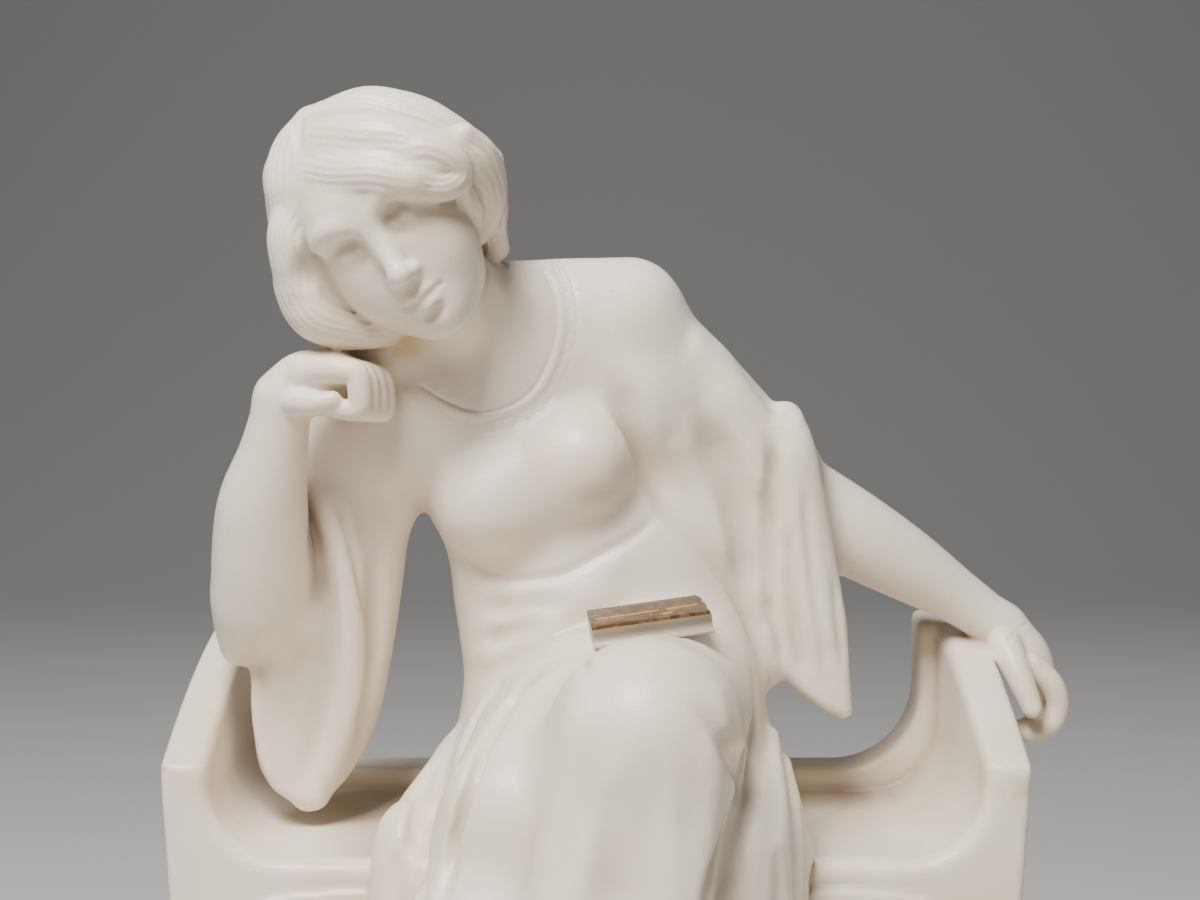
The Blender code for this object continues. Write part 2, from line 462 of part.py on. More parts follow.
def drapery(clay):
    """The folds of the gown, as grooves and ridges along its surface."""
    floor = -SEAT + 2
    # The edge of the upper leg's cloth and the ridge beside it.
    clay.fold([(-3, 57), (-16, 49), (-26, 39), (-32, 26.5), (-36, 11), (-40.5, -4)],
              [1, 2, 2.4, 2.6, 2.6, 2.4], [1, 2.6, 3.2, 3.4, 3.4, 3], 3.2, True)
    clay.fold([(-24, 46), (-34, 33), (-40.5, 18), (-45, -4)], [1.2, 2, 2.4, 2.4], 2, 3.2, True)
    clay.fold([(-29, 27), (-35, 13), (-39.5, -2)], [1.6, 2, 2.2], 2, 2.4)
    clay.fold([(-6, 50), (-10.5, 44), (-14.5, 27), (-19, 5), (-21, -12)], [3, 4.5, 5, 5, 5], 1.4, 5)
    # The broad valley down the middle of the leg, with a narrower cut in it.
    clay.fold([(2, 50), (1, 40), (-0.5, 25), (0, 6), (2, -12)], [3, 6.5, 8, 8.5, 8.5], [1, 4, 6, 6.5, 6],
              6, True)
    clay.fold([(-3, 20), (-5.5, 6), (-7, -12)], [1.5, 2.6, 3], [0.8, 2.4, 3], 3, True)
    clay.fold([(8, 36), (6.5, 24), (5, 14)], [2, 3, 2], 1.4, 3)
    clay.fold([(13, 44), (14.5, 29), (14, 8), (13, -12)], [3, 4.5, 4.5, 4.5], 1.4, 4.5)
    clay.fold([(28, 46), (26.5, 33), (25, 18), (22, 0), (20, -12)], [1.4, 2.4, 2.8, 2.8, 2.8],
              [1.4, 3, 3.6, 3.6, 3.4], 3.6, True)
    clay.fold([(34.5, 42), (34, 28), (33, 12), (29, -8)], [2.4, 3.2, 3.4, 3.4], 1.8, 3.5)
    clay.fold([(43, 33), (40.5, 23), (36, 11), (31, -6)], [1.4, 2, 2.4, 2.6], [2, 3, 3.2, 3], 3.4, True)
    clay.fold([(46.5, 30), (45, 18), (42.5, 4)], [1.6, 2.2, 2.4], 1.6, 2.6)
    # The cloth bunched over the edge of the seat.
    clay.fold([(-45, 21), (-45.8, 14), (-46.5, 5)], [1.2, 2, 1.4], 2.6, 2.6, True)
    clay.fold([(-51, 9), (-50.5, -6), (-49, -18)], [1.8, 2.4, 2.4], 1.8, 3, True)
    clay.fold([(49.5, 24), (50, 8), (49, -12)], [1.6, 2.2, 2.4], 1.4, 3)
    clay.fold([(45.5, 14), (46, 2), (45, -14)], [1.2, 1.8, 2], 1.8, 2.6, True)
    # The same folds run on down to the hem.
    grooves = [(-36, -42, 2.6), (-27, -31, 2.6), (-12, -14, 3), (2, 4, 6.5), (20, 26, 3), (30, 37, 2.8)]
    ridges = [(-31, -36, 3), (-20, -22, 4), (13, 16, 4), (26, 32, 3.5)]
    for top, foot, radius in grooves + ridges:
        line = [(top + (foot - top) * share, -2 + (floor + 2) * share) for share in (0, 0.33, 0.67, 1.1)]
        if (top, foot, radius) in grooves:
            clay.fold(line, [radius * 0.8, radius, radius, radius * 1.3], radius * 0.85, 4, True)
        else:
            clay.fold(line, [radius * 0.8, radius, radius * 1.1, radius * 1.3], 1.6, 3.5)
    # The seam under the bust, and the cloth below it.
    clay.fold([(-37, 77), (-33.5, 73), (-24, 70.8), (-10, 72.4), (1, 78), (9, 82), (15, 86.5), (19, 92)],
              1.1, 0.9, 1.4, True)
    clay.fold([(-35, 69), (-22, 66.5), (-8, 68), (3, 73), (12, 79)], [1.6, 2.4, 2.4, 2.4, 1.6], 0.8, 3)
    clay.fold([(-36, 56), (-20, 60.5), (-3.5, 65.5), (8, 70)], [2, 3, 3, 2], 1, 4)
    clay.fold([(-37, 60.5), (-21, 64), (-5, 66)], [1.2, 2, 1.4], 0.9, 3, True)
    clay.fold([(-38, 44), (-28, 50), (-16, 56.5), (-6, 61)], [2, 2.8, 3, 2], 1.2, 3.5)
    clay.fold([(-37.5, 50), (-26, 55.5), (-13, 60.5)], [1.2, 2, 1.4], 1, 3, True)
    clay.fold([(26, 52.5), (32.5, 39.5), (36.5, 26.5)], [2, 3, 2.5], 1.2, 4, True)
    # Between the body and the left sleeve.
    clay.fold([(3, 137), (5.5, 124), (9.5, 115), (13.5, 102), (19, 90.5), (29, 79), (38.5, 66),
               (45.5, 49.5), (47, 40)], [2.4, 3.6, 3.8, 3.4, 3, 2.4, 2, 1.8, 1.5], [0.8, 2.6, 4, 4.2, 3.6,
                                                                                    3, 2.6, 2.2, 2], 4, True)
    # Down the back, fanning out from between the shoulders to the seat.
    for top, foot in ((-26, -34), (-17, -19), (-6, -3), (5, 14), (15, 30)):
        line = [(top, 112), ((top + foot) / 2, 80), (foot, 48), (foot * 1.15, 16)]
        clay.fold(line, [2, 3, 3.4, 3], 1.6, 5, True, side=1)


def sculpt():
    """The whole block: bench, figure and base."""
    half = BENCH_HALF + EDGE
    front = BENCH_DEEP + EDGE - PLINTH_DEPTH / MODULE
    low = (-half - 3, min(front - 4, -100), -SEAT - PLINTH - 2)
    high = (max(half + 3, 137), BENCH_DEEP + EDGE + 3, 208)
    clay = Clay(low, high, GRAIN)
    bench(clay)
    figure = Clay(low, high, GRAIN)
    for form in (torso, right_arm, left_arm, left_sleeve, lap_and_skirt, drapery):
        form(figure)
    axes = turn(roll=-34, pitch=18, yaw=-12)
    figure.stamp(head(), HEAD_PLACE - axes @ np.array((0, 0, 28)) * HEAD_SCALE, axes, HEAD_SCALE, 1.5)
    hair(figure)
    clay.field = smooth_min(clay.field, figure.field, 2)
    # Nothing of the figure goes lower than the inside of the base.
    height = clay.low[2] + clay.step * np.arange(clay.size[2])
    clay.field = np.maximum(clay.field, (-SEAT - 2 - height).astype(np.float32))
    plinth(clay)
    return clay


def part_touching(field):
    """Fills the few cells where the surface would touch itself along an edge or at a corner."""
    for _ in range(12):
        inside = field < 0
        found = 0
        for axis in range(3):
            turned = np.moveaxis(field, axis, 0)
            solid = np.moveaxis(inside, axis, 0)
            a, b = solid[:, :-1, :-1], solid[:, 1:, :-1]
            c, d = solid[:, :-1, 1:], solid[:, 1:, 1:]
            places = np.argwhere((a & d & ~b & ~c) | (~a & ~d & b & c))
            found += len(places)
            for i, j, k in places:
                turned[i, j:j + 2, k:k + 2] = np.minimum(turned[i, j:j + 2, k:k + 2], -0.01)
        inside = field < 0
        corners = [inside[i:inside.shape[0] - 1 + i, j:inside.shape[1] - 1 + j, k:inside.shape[2] - 1 + k]
                   for i in (0, 1) for j in (0, 1) for k in (0, 1)]
        total = sum(c.astype(np.int8) for c in corners)
        for n in range(4):
            near, far = corners[n], corners[7 - n]
            for i, j, k in np.argwhere(((total == 2) & near & far) | ((total == 6) & ~near & ~far)):
                found += 1
                cell = field[i:i + 2, j:j + 2, k:k + 2]
                cell[...] = np.minimum(cell, -0.01)
        if not found:
            return


def skin(clay):
    """Points and four-sided faces of the clay's surface."""
    f = clay.field
    part_touching(f)
    inside = f < 0
    nx, ny, nz = f.shape
    corners = [(n & 1, (n >> 1) & 1, (n >> 2) & 1) for n in range(8)]
    total = sum(inside[i:nx - 1 + i, j:ny - 1 + j, k:nz - 1 + k].astype(np.int8) for i, j, k in corners)
    cells = np.argwhere((total > 0) & (total < 8)).astype(np.int32)
    number = np.full(total.shape, -1, np.int32)
    number[tuple(cells.T)] = np.arange(len(cells))
    value = {c: f[tuple((cells + c).T)] for c in corners}
    place = np.zeros((len(cells), 3))
    count = np.zeros(len(cells))
    for axis in range(3):
        for corner in corners:
            if corner[axis]:
                continue
            other = tuple(1 if i == axis else c for i, c in enumerate(corner))
            a, b = value[corner], value[other]
            crossing = (a < 0) != (b < 0)
            place[crossing] += corner
            place[crossing, axis] += a[crossing] / (a[crossing] - b[crossing])
            count[crossing] += 1
    points = clay.low + clay.step * (cells + place / count[:, None])
    faces = []
    for axis in range(3):
        first = np.moveaxis(inside, axis, 0)
        edges = np.argwhere(first[:-1] != first[1:])
        out = first[tuple(edges.T)]
        grid = np.moveaxis(number, axis, 0)
        ring = [grid[edges[:, 0], edges[:, 1] + j, edges[:, 2] + k] for j, k in ((-1, -1), (0, -1), (0, 0), (-1, 0))]
        quads = np.stack(ring, 1)
        flip = ~out if axis != 1 else out
        quads[flip] = quads[flip][:, ::-1]
        faces.append(quads)
    return outer_shell(points, np.concatenate(faces))


def outer_shell(points, faces):
    """Keeps the largest connected surface, so that no small hollow is sealed inside."""
    label = np.arange(len(points))
    while True:
        lowest = label[faces].min(1)
        new = label.copy()
        for corner in range(4):
            np.minimum.at(new, faces[:, corner], lowest)
        new = new[new]
        if (new == label).all():
            break
        label = new
    kept = label == np.bincount(label).argmax()
    number = np.cumsum(kept) - 1
    return points[kept], number[faces[kept[faces[:, 0]]]]


def to_metres(points):
    """From modules at the seat to metres at the middle of the base's underside."""
    return np.array(points) * MODULE + (0, SHIFT, SEAT_HEIGHT + PLINTH_THICKNESS)


def material(name, colour, roughness, metallic=0.0):
    made = bpy.data.materials.new(name)
    made.use_nodes = True
    shader = made.node_tree.nodes["Principled BSDF"]
    shader.inputs["Base Color"].default_value = (*colour, 1)
    shader.inputs["Roughness"].default_value = roughness
    shader.inputs["Metallic"].default_value = metallic
    return made


def new_object(name, points, faces, stuff):
    mesh = bpy.data.meshes.new(name)
    mesh.from_pydata([tuple(p) for p in points], [], [tuple(f) for f in faces])
    mesh.validate()
    made = bpy.data.objects.new(name, mesh)
    bpy.context.scene.collection.objects.link(made)
    mesh.materials.append(stuff)
    return made


def book_section():
    """The book's end outline, front to back and up: thin lower lip, hollow fore edge, cover on top."""
    front = -BOOK_DEPTH / 2
    back = BOOK_DEPTH / 2
    block_top = LIP_THICKNESS + BLOCK_THICKNESS
    top = block_top + COVER_THICKNESS
    page = front + COVER_OVERHANG
    outline = [(front, 0), (back, 0), (back, top), (front, top), (front, block_top)]
    steps = 6
    for n in range(steps + 1):
        share = n / steps
        outline.append((page + FORE_EDGE_HOLLOW * math.sin(math.pi * share), block_top - BLOCK_THICKNESS * share))
    outline.append((front, LIP_THICKNESS))
    return outline


def lay_on_lap(made):
    made.location = to_metres(BOOK_PLACE)
    made.rotation_euler = [math.radians(t) for t in BOOK_TURN]


def make_book():
    section = book_section()
    half = BOOK_LENGTH / 2
    points = [(x, y, z) for x in (-half, half) for y, z in section]
    n = len(section)
    faces = [tuple(reversed(range(n))), tuple(range(n, 2 * n))]
    faces += [(i, (i + 1) % n, n + (i + 1) % n, n + i) for i in range(n)]
    made = new_object("book", points, faces, material("gilt book", (0.42, 0.27, 0.10), 0.45))
    lay_on_lap(made)
    return made


def make_book_seat():
    """A box that cuts the flat seat for the book into the lap."""
    half_x = BOOK_LENGTH / 2 + CLEARANCE
    half_y = BOOK_DEPTH / 2 + CLEARANCE
    high = 3 * (BLOCK_THICKNESS + COVER_THICKNESS + LIP_THICKNESS)
    corners = [(x, y, z) for z in (-CLEARANCE, high) for y in (-half_y, half_y) for x in (-half_x, half_x)]
    faces = [(0, 2, 3, 1), (4, 5, 7, 6), (0, 1, 5, 4), (2, 6, 7, 3), (0, 4, 6, 2), (1, 3, 7, 5)]
    made = new_object("book_seat_cutter", corners, faces, material("cutter", (1, 0, 0), 0.5))
    lay_on_lap(made)
    made.hide_render = True
    made.display_type = "WIRE"
    return made


def make_reader():
    points, faces = skin(sculpt())
    made = new_object("seated_reader", to_metres(points), faces, material("pale alabaster", (0.80, 0.74, 0.65), 0.35))
    thin = made.modifiers.new("facets", "DECIMATE")
    thin.ratio = FACETS / (2 * len(faces))
    seat = made.modifiers.new("book seat", "BOOLEAN")
    seat.operation = "DIFFERENCE"
    seat.solver = "EXACT"
    seat.object = make_book_seat()
    return made


def main():
    for old in list(bpy.data.objects):
        bpy.data.objects.remove(old)
    make_reader()
    make_book()


main()
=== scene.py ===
"""Reading girl statue: carves the seated reader and her book, and sets a plain stage.

The figure is built like clay. Blocks of space hold the distance to the surface: one coarse block for the
whole and finer ones over the head and the hands. Round forms are blended in, folds and lines are cut, and
each block is then skinned. Points of the figure are in modules, a two-hundredth of its height, measured
from the middle of the bench's front face at the level of the seat: x to the viewer's right, y back, z up.
"""
import math

import bmesh
import bpy
import numpy as np
from bpy.props import FloatProperty, FloatVectorProperty, IntProperty, PointerProperty
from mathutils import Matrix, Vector


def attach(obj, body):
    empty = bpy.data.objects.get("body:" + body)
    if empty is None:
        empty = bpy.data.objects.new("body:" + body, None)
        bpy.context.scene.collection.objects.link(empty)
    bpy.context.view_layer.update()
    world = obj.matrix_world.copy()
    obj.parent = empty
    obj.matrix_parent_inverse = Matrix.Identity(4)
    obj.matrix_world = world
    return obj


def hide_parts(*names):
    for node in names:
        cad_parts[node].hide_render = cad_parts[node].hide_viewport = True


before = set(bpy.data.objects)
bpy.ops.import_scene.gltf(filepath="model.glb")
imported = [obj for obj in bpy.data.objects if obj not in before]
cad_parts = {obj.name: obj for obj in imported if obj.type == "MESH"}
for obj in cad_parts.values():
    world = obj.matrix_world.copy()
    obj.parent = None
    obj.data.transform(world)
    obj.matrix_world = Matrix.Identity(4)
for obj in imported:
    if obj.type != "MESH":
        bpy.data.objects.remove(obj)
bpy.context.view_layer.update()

bl_info = {
    "name": "Reading Girl Statue",
    "version": (1, 0, 0),
    "blender": (4, 5, 0),
    "location": "3D View > Sidebar > Reading Girl",
    "description": "Carves a seated reading girl with her book and sets a plain stage",
    "category": "Add Mesh",
}

# Sizes that the frame is built on, in metres.
FIGURE_HEIGHT = 0.200
SEAT_HEIGHT = 0.105
PLINTH_EDGE = 0.005
PLINTH_DEPTH = 0.206
PLINTH_THICKNESS = 0.014
CLEARANCE = 0.0003

# The figure and its bench share one block, so their carving is a share of the figure's height.
MODULE = FIGURE_HEIGHT / 200
SEAT = SEAT_HEIGHT / MODULE
PLINTH = PLINTH_THICKNESS / MODULE
EDGE = PLINTH_EDGE / MODULE
BENCH_HALF = 113.0
BENCH_DEEP = 98.0
ARM_INSIDE = 101.0
ARM_FRONT_TOP = 25.0
ARM_BACK_TOP = 52.0
BACK_TOP = 6.5
BACK_WALL = 19.0
HEAD_SCALE = 1.12
HEAD_PLACE = (-54.0, 10.0, 167.0)
HEAD_MIDDLE = (0, 0, 28)
HEAD_TILT = (-34, 18, -12)
BOOK_PLACE = (14.0, -2.0, 60.4)
BOOK_TURN = (4.0, -7.6, 3.5)
SHIFT = PLINTH_DEPTH / 2 - PLINTH_EDGE - BENCH_DEEP * MODULE

# How far the figure reaches past its bench: to the front, to the viewer's right and up.
FOREMOST = -100
RIGHTMOST = 137
TOPMOST = 208

# Corners of the finer blocks, over the head with its fist and over the hand on the bench end.
HEAD_BLOCK = ((-99, -27, 84), (6, 60, 207))
HAND_BLOCK = ((99, 38, 12), (RIGHTMOST, 80, 66))

# The width of a strand of hair, and of the neckline's border. Each of its plain lines is given by its
# place across the rim, its width and its depth.
STRAND = 1.9
BORDER = 2.6
BORDER_START = 1.6
NECK_LINES = ((-1.3, 0.9, 0.55), (BORDER_START, 0.45, 0.25), (BORDER_START + BORDER, 0.45, 0.25))

# Open space, and the value set in a cell that has to be filled.
FAR = 50.0
FILLED = -0.01

# A fold fades over a share of its length at both ends, and sinks there by a share of its blend.
FADE = 0.22
FADE_SINK = 0.9
BLEND_LOSS = 0.65

# Cells by which the blocks' skins overlap, and the share of the volume below which a surface is a crumb.
OVERLAP = 2.5
CRUMB = 0.001

# How far around a point hollows and creases are felt for the painted shade in them, and how deep in a finer
# block it is read there.
HOLLOW_SHADE_REACH = 5.0
CREASE_SHADE_REACH = 1.2
READ_MARGIN = 3

# Faces that meet below this angle are shaded as one, and edges of the book above the last are rounded.
STONE_SMOOTH = math.radians(42)
BOOK_SMOOTH = math.radians(30)
BOOK_SHARP = math.radians(40)

# Chips at the cover's right end, as a share of the depth and the length lost, and the gilt lines, as the
# start and length along the cover and the share of the depth. Lengths are in metres.
COVER_CHIPS = ((-0.5, 0.0004), (-0.3, 0.0011), (-0.1, 0.0005), (0.12, 0.0013), (0.3, 0.0008), (0.5, 0.0017))
GILT_LINES = ((0.0016, 0.0163, -0.12), (0.0198, 0.0082, -0.10), (0.0182, 0.0028, -0.34))
SAME_PLACE = 1e-5

# What the lights are turned to, and the colour of the even light.
AIM = (0, 0, 0.2)
SKY_COLOUR = (0.95, 0.94, 0.93)


def smooth_min(a, b, blend):
    """The lesser of two distances, rounded over where they are closer than the blend."""
    if blend <= 0:
        return np.minimum(a, b)
    h = np.maximum(blend - np.abs(a - b), 0) / blend
    return np.minimum(a, b) - h * h * (blend / 4)


def turn(roll=0, pitch=0, yaw=0):
    """Axes turned about Y, X and Z, in degrees."""
    a, b, c = (math.radians(t) for t in (roll, pitch, yaw))
    about_y = np.array([[math.cos(a), 0, math.sin(a)], [0, 1, 0], [-math.sin(a), 0, math.cos(a)]])
    about_x = np.array([[1, 0, 0], [0, math.cos(b), -math.sin(b)], [0, math.sin(b), math.cos(b)]])
    about_z = np.array([[math.cos(c), -math.sin(c), 0], [math.sin(c), math.cos(c), 0], [0, 0, 1]])
    return about_z @ about_y @ about_x


def flow(points, count):
    """A smooth curve through the points, read at count places."""
    p = np.array(points, float)
    if len(p) < 3:
        return p[0] + (p[-1] - p[0]) * np.linspace(0, 1, count)[:, None]
    ends = np.vstack([2 * p[0] - p[1], p, 2 * p[-1] - p[-2]])
    t = np.linspace(0, len(p) - 1 - 1e-9, count)
    i = t.astype(int)
    f = (t - i)[:, None]
    a, b, c, d = ends[i], ends[i + 1], ends[i + 2], ends[i + 3]
    bend = (2 * a - 5 * b + 4 * c - d) * f**2 + (3 * b - a - 3 * c + d) * f**3
    return 0.5 * (2 * b + (c - a) * f + bend)


def spread(values, count):
    """The values stretched evenly over count places."""
    values = np.atleast_1d(values)
    return np.interp(np.linspace(0, 1, count), np.linspace(0, 1, len(values)), values)


def round_bar(x, y, z, a, b, ra, rb):
    """Distance to a bar from a to b, whose radius runs from ra to rb."""
    x, y, z = x - a[0], y - a[1], z - a[2]
    d = b - a
    length = float(np.sqrt(d @ d)) + 1e-9
    d = d / length
    slope = min(max((rb - ra) / length, -0.95), 0.95)
    along = x * d[0] + y * d[1] + z * d[2]
    aside = np.sqrt(np.maximum(x * x + y * y + z * z - along * along, 0))
    near = np.clip(along + aside * (slope / math.sqrt(1 - slope * slope)), 0, length)
    return np.sqrt((along - near) ** 2 + aside * aside) - (ra + (rb - ra) * near / length)


def round_box(sides, radius):
    """Distance to a box given by the distances past its sides, with rounded edges."""
    outside = sum(np.maximum(s + radius, 0) ** 2 for s in sides)
    deepest = sides[0]
    for s in sides[1:]:
        deepest = np.maximum(deepest, s)
    return np.sqrt(outside) + np.minimum(deepest + radius, 0) - radius


def outline_distance(u, v, points):
    """Distance in a plane to a closed outline, negative inside."""
    p = np.array(points, float)
    best = np.full(np.broadcast(u, v).shape, 1e9)
    sign = np.ones(best.shape)
    for (ax, ay), (bx, by) in zip(p, np.roll(p, -1, 0)):
        ex, ey = bx - ax, by - ay
        wx, wy = u - ax, v - ay
        h = np.clip((wx * ex + wy * ey) / (ex * ex + ey * ey), 0, 1)
        best = np.minimum(best, (wx - ex * h) ** 2 + (wy - ey * h) ** 2)
        above, below, left = v >= ay, v < by, ex * wy > ey * wx
        sign = np.where((above & below & left) | (~above & ~below & ~left), -sign, sign)
    return sign * np.sqrt(best)


class Clay:
    """A block of space with the distance to the surface at each grid point, negative inside."""

    def __init__(self, low, high, step):
        self.low = np.array(low, float)
        self.step = float(step)
        self.size = [int(math.ceil((h - l) / step)) + 1 for l, h in zip(low, high)]
        self.field = np.full(self.size, FAR, np.float32)

    def extent(self, margin):
        """The low and high corners, drawn in by a margin in cells."""
        return self.low + margin * self.step, self.low + self.step * (np.array(self.size) - 1 - margin)

    def blank(self):
        """An empty block on the same grid."""
        return Clay(self.low, self.extent(0.5)[1], self.step)

    def window(self, low, high):
        """The grid points between two corners, and their places along each axis."""
        first = [max(0, int(math.floor((l - o) / self.step))) for l, o in zip(low, self.low)]
        last = [int(math.ceil((h - o) / self.step)) + 1 for h, o in zip(high, self.low)]
        last = [max(f, min(n, e)) for f, n, e in zip(first, self.size, last)]
        cut = tuple(slice(a, b) for a, b in zip(first, last))
        axes = [(self.low[i] + self.step * np.arange(first[i], last[i])).astype(np.float32)
                for i in range(3)]
        return cut, axes[0][:, None, None], axes[1][None, :, None], axes[2][None, None, :]

    def merge(self, cut, distance, blend, carve):
        """Adds a form to the clay, or cuts it away."""
        old = self.field[cut]
        if carve:
            self.field[cut] = -smooth_min(-old, distance, blend)
        else:
            self.field[cut] = smooth_min(old, distance, blend)

    def ball(self, centre, radii, blend=0.0, axes=None, carve=False):
        """A ball stretched to three radii, in its own axes if they are given."""
        a, b, c = radii
        reach = (np.abs(axes) if axes is not None else np.eye(3)) @ np.array(radii) + blend + 2 * self.step
        cut, x, y, z = self.window(np.array(centre) - reach, np.array(centre) + reach)
        x, y, z = x - centre[0], y - centre[1], z - centre[2]
        if axes is not None:
            x, y, z = (axes[0, i] * x + axes[1, i] * y + axes[2, i] * z for i in range(3))
        near = np.sqrt((x / a) ** 2 + (y / b) ** 2 + (z / c) ** 2) + 1e-6
        steep = np.sqrt((x / a**2) ** 2 + (y / b**2) ** 2 + (z / c**2) ** 2) + 1e-6
        self.merge(cut, (near * (near - 1) / steep).astype(np.float32), blend, carve)

    def rope(self, points, radii, blend=0.0, carve=False, smooth=True):
        """A round bar along the points, or along a smooth curve through them."""
        path, size = np.array(points, float), spread(radii, len(points))
        if smooth and len(points) > 2:
            count = 6 * (len(points) - 1) + 1
            path = flow(points, count)
            size = flow(size[:, None], count)[:, 0]
        size = np.maximum(size, 0.05)
        margin = blend + 2 * self.step
        reach = size.max() + margin
        cut, x, y, z = self.window(path.min(0) - reach, path.max(0) + reach)
        total = np.full([s.stop - s.start for s in cut], FAR, np.float32)
        for a, b, ra, rb in zip(path[:-1], path[1:], size[:-1], size[1:]):
            reach = max(ra, rb) + margin
            piece = self.window(np.minimum(a, b) - reach, np.maximum(a, b) + reach)[0]
            here = tuple(slice(max(p.start - c.start, 0), p.stop - c.start) for p, c in zip(piece, cut))
            bar = round_bar(x[here[0]], y[:, here[1]], z[:, :, here[2]], a, b, ra, rb)
            total[here] = np.minimum(total[here], bar)
        self.merge(cut, total, blend, carve)

    def shape(self, low, high, distance, blend=0.0, carve=False):
        """Any form given by its own distance function, inside the box from low to high."""
        reach = blend + 2 * self.step
        cut, x, y, z = self.window(np.array(low) - reach, np.array(high) + reach)
        found = np.broadcast_to(distance(x, y, z), self.field[cut].shape)
        self.merge(cut, found.astype(np.float32), blend, carve)

    def comb(self, points, radii, width, deep):
        """Fine grooves that run along a lock of hair, only where the lock itself is the surface."""
        count = 6 * (len(points) - 1) + 1
        path = flow(points, count)
        size = flow(spread(radii, len(points))[:, None], count)[:, 0]
        reach = size.max() + 2
        cut, x, y, z = self.window(path.min(0) - reach, path.max(0) + reach)
        if 0 in self.field[cut].shape:
            return
        nearest = np.full(self.field[cut].shape, FAR, np.float32)
        angle = np.zeros(nearest.shape, np.float32)
        share = np.zeros(nearest.shape, np.float32)
        side = np.cross(path[1] - path[0], (0.3, -0.9, 0.3))
        for n, (a, b) in enumerate(zip(path[:-1], path[1:])):
            ahead = (b - a) / np.linalg.norm(b - a)
            side = side - ahead * (side @ ahead)
            side /= np.linalg.norm(side)
            up = np.cross(ahead, side)
            bar = round_bar(x, y, z, a, b, size[n], size[n + 1])
            closer = bar < nearest
            px, py, pz = x - a[0], y - a[1], z - a[2]
            turned = np.arctan2(px * up[0] + py * up[1] + pz * up[2],
                                px * side[0] + py * side[1] + pz * side[2])
            along = np.clip((px * ahead[0] + py * ahead[1] + pz * ahead[2]) / np.linalg.norm(b - a), 0, 1)
            angle = np.where(closer, turned, angle)
            share = np.where(closer, (n + along) / (count - 1), share)
            nearest = np.minimum(nearest, bar)
        strands = max(int(round(2 * math.pi * np.mean(size) / width)), 3)
        wave = 1.2 * np.sin(11 * share) + 1.1 * np.sin(3 * angle + 4 * share)
        groove = 0.5 - 0.5 * np.cos(strands * angle + wave)
        weight = np.clip(1 - np.abs(nearest) / 1.5, 0, 1)
        weight = weight * np.clip(6 * share, 0, 1) * np.clip(6 * (1 - share), 0, 1)
        self.field[cut] += (deep * groove * groove * weight).astype(np.float32)

    def depth(self, x, z, side):
        """Where the surface is first met from the front (side -1) or from the back (side 1)."""
        i = min(max(int(round((x - self.low[0]) / self.step)), 0), self.size[0] - 1)
        k = min(max(int(round((z - self.low[2]) / self.step)), 0), self.size[2] - 1)
        column = self.field[i, :, k][::-side]
        inside = np.nonzero(column < 0)[0]
        if len(inside) == 0 or inside[0] == 0:
            j = float(np.argmin(column))
        else:
            before, after = column[inside[0] - 1], column[inside[0]]
            j = inside[0] - 1 + before / (before - after)
        if side > 0:
            j = self.size[1] - 1 - j
        return self.low[1] + self.step * j

    def fold_path(self, points, radii, height, blend, carve, side):
        """The path and sizes of a ridge or groove that follows the surface and fades at both ends.

        The points are (x, z) as seen from the front, or from the back with side 1.
        """
        count = 5 * (len(points) - 1) + 1
        path = flow(points, count)
        share = np.linspace(0, 1, count)
        fade = np.clip(share / FADE, 0, 1) * np.clip((1 - share) / FADE, 0, 1)
        fade = fade * fade * (3 - 2 * fade)
        size = spread(radii, count)
        proud = -FADE_SINK * blend + (spread(height, count) + BLEND_LOSS * blend) * fade
        depth = np.array([self.depth(x, z, side) for x, z in path])
        for _ in range(3):
            depth[1:-1] = (depth[:-2] + 2 * depth[1:-1] + depth[2:]) / 4
        sunk = side * (size - proud) * (1 if carve else -1)
        return np.column_stack([path[:, 0], depth + sunk, path[:, 1]]), size


class Sculpture:
    """A coarse block for the whole and finer ones over its delicate places, all carved together."""

    def __init__(self, blocks):
        self.blocks = blocks

    def blank(self):
        return Sculpture([block.blank() for block in self.blocks])

    @property
    def details(self):
        """The finer blocks alone, for lines too thin for the coarse one."""
        return Sculpture(self.blocks[1:])

    def ball(self, *form, **how):
        for block in self.blocks:
            block.ball(*form, **how)

    def rope(self, *form, **how):
        for block in self.blocks:
            block.rope(*form, **how)

    def shape(self, *form, **how):
        for block in self.blocks:
            block.shape(*form, **how)

    def comb(self, *form, **how):
        for block in self.blocks[1:]:
            block.comb(*form, **how)

    def fold(self, points, radii, height, blend, carve, side):
        """A fold on the front of the figure, or on its back with side 1."""
        path, size = self.blocks[0].fold_path(points, radii, height, blend, carve, side)
        self.rope(path, size, blend, carve, smooth=False)

    def ridge(self, points, radii, height, blend, side=-1):
        self.fold(points, radii, height, blend, False, side)

    def groove(self, points, radii, height, blend, side=-1):
        self.fold(points, radii, height, blend, True, side)

    def unite(self, other, blend):
        """Blends another sculpture on the same grids into this one."""
        for block, added in zip(self.blocks, other.blocks):
            block.field = smooth_min(block.field, added.field, blend)


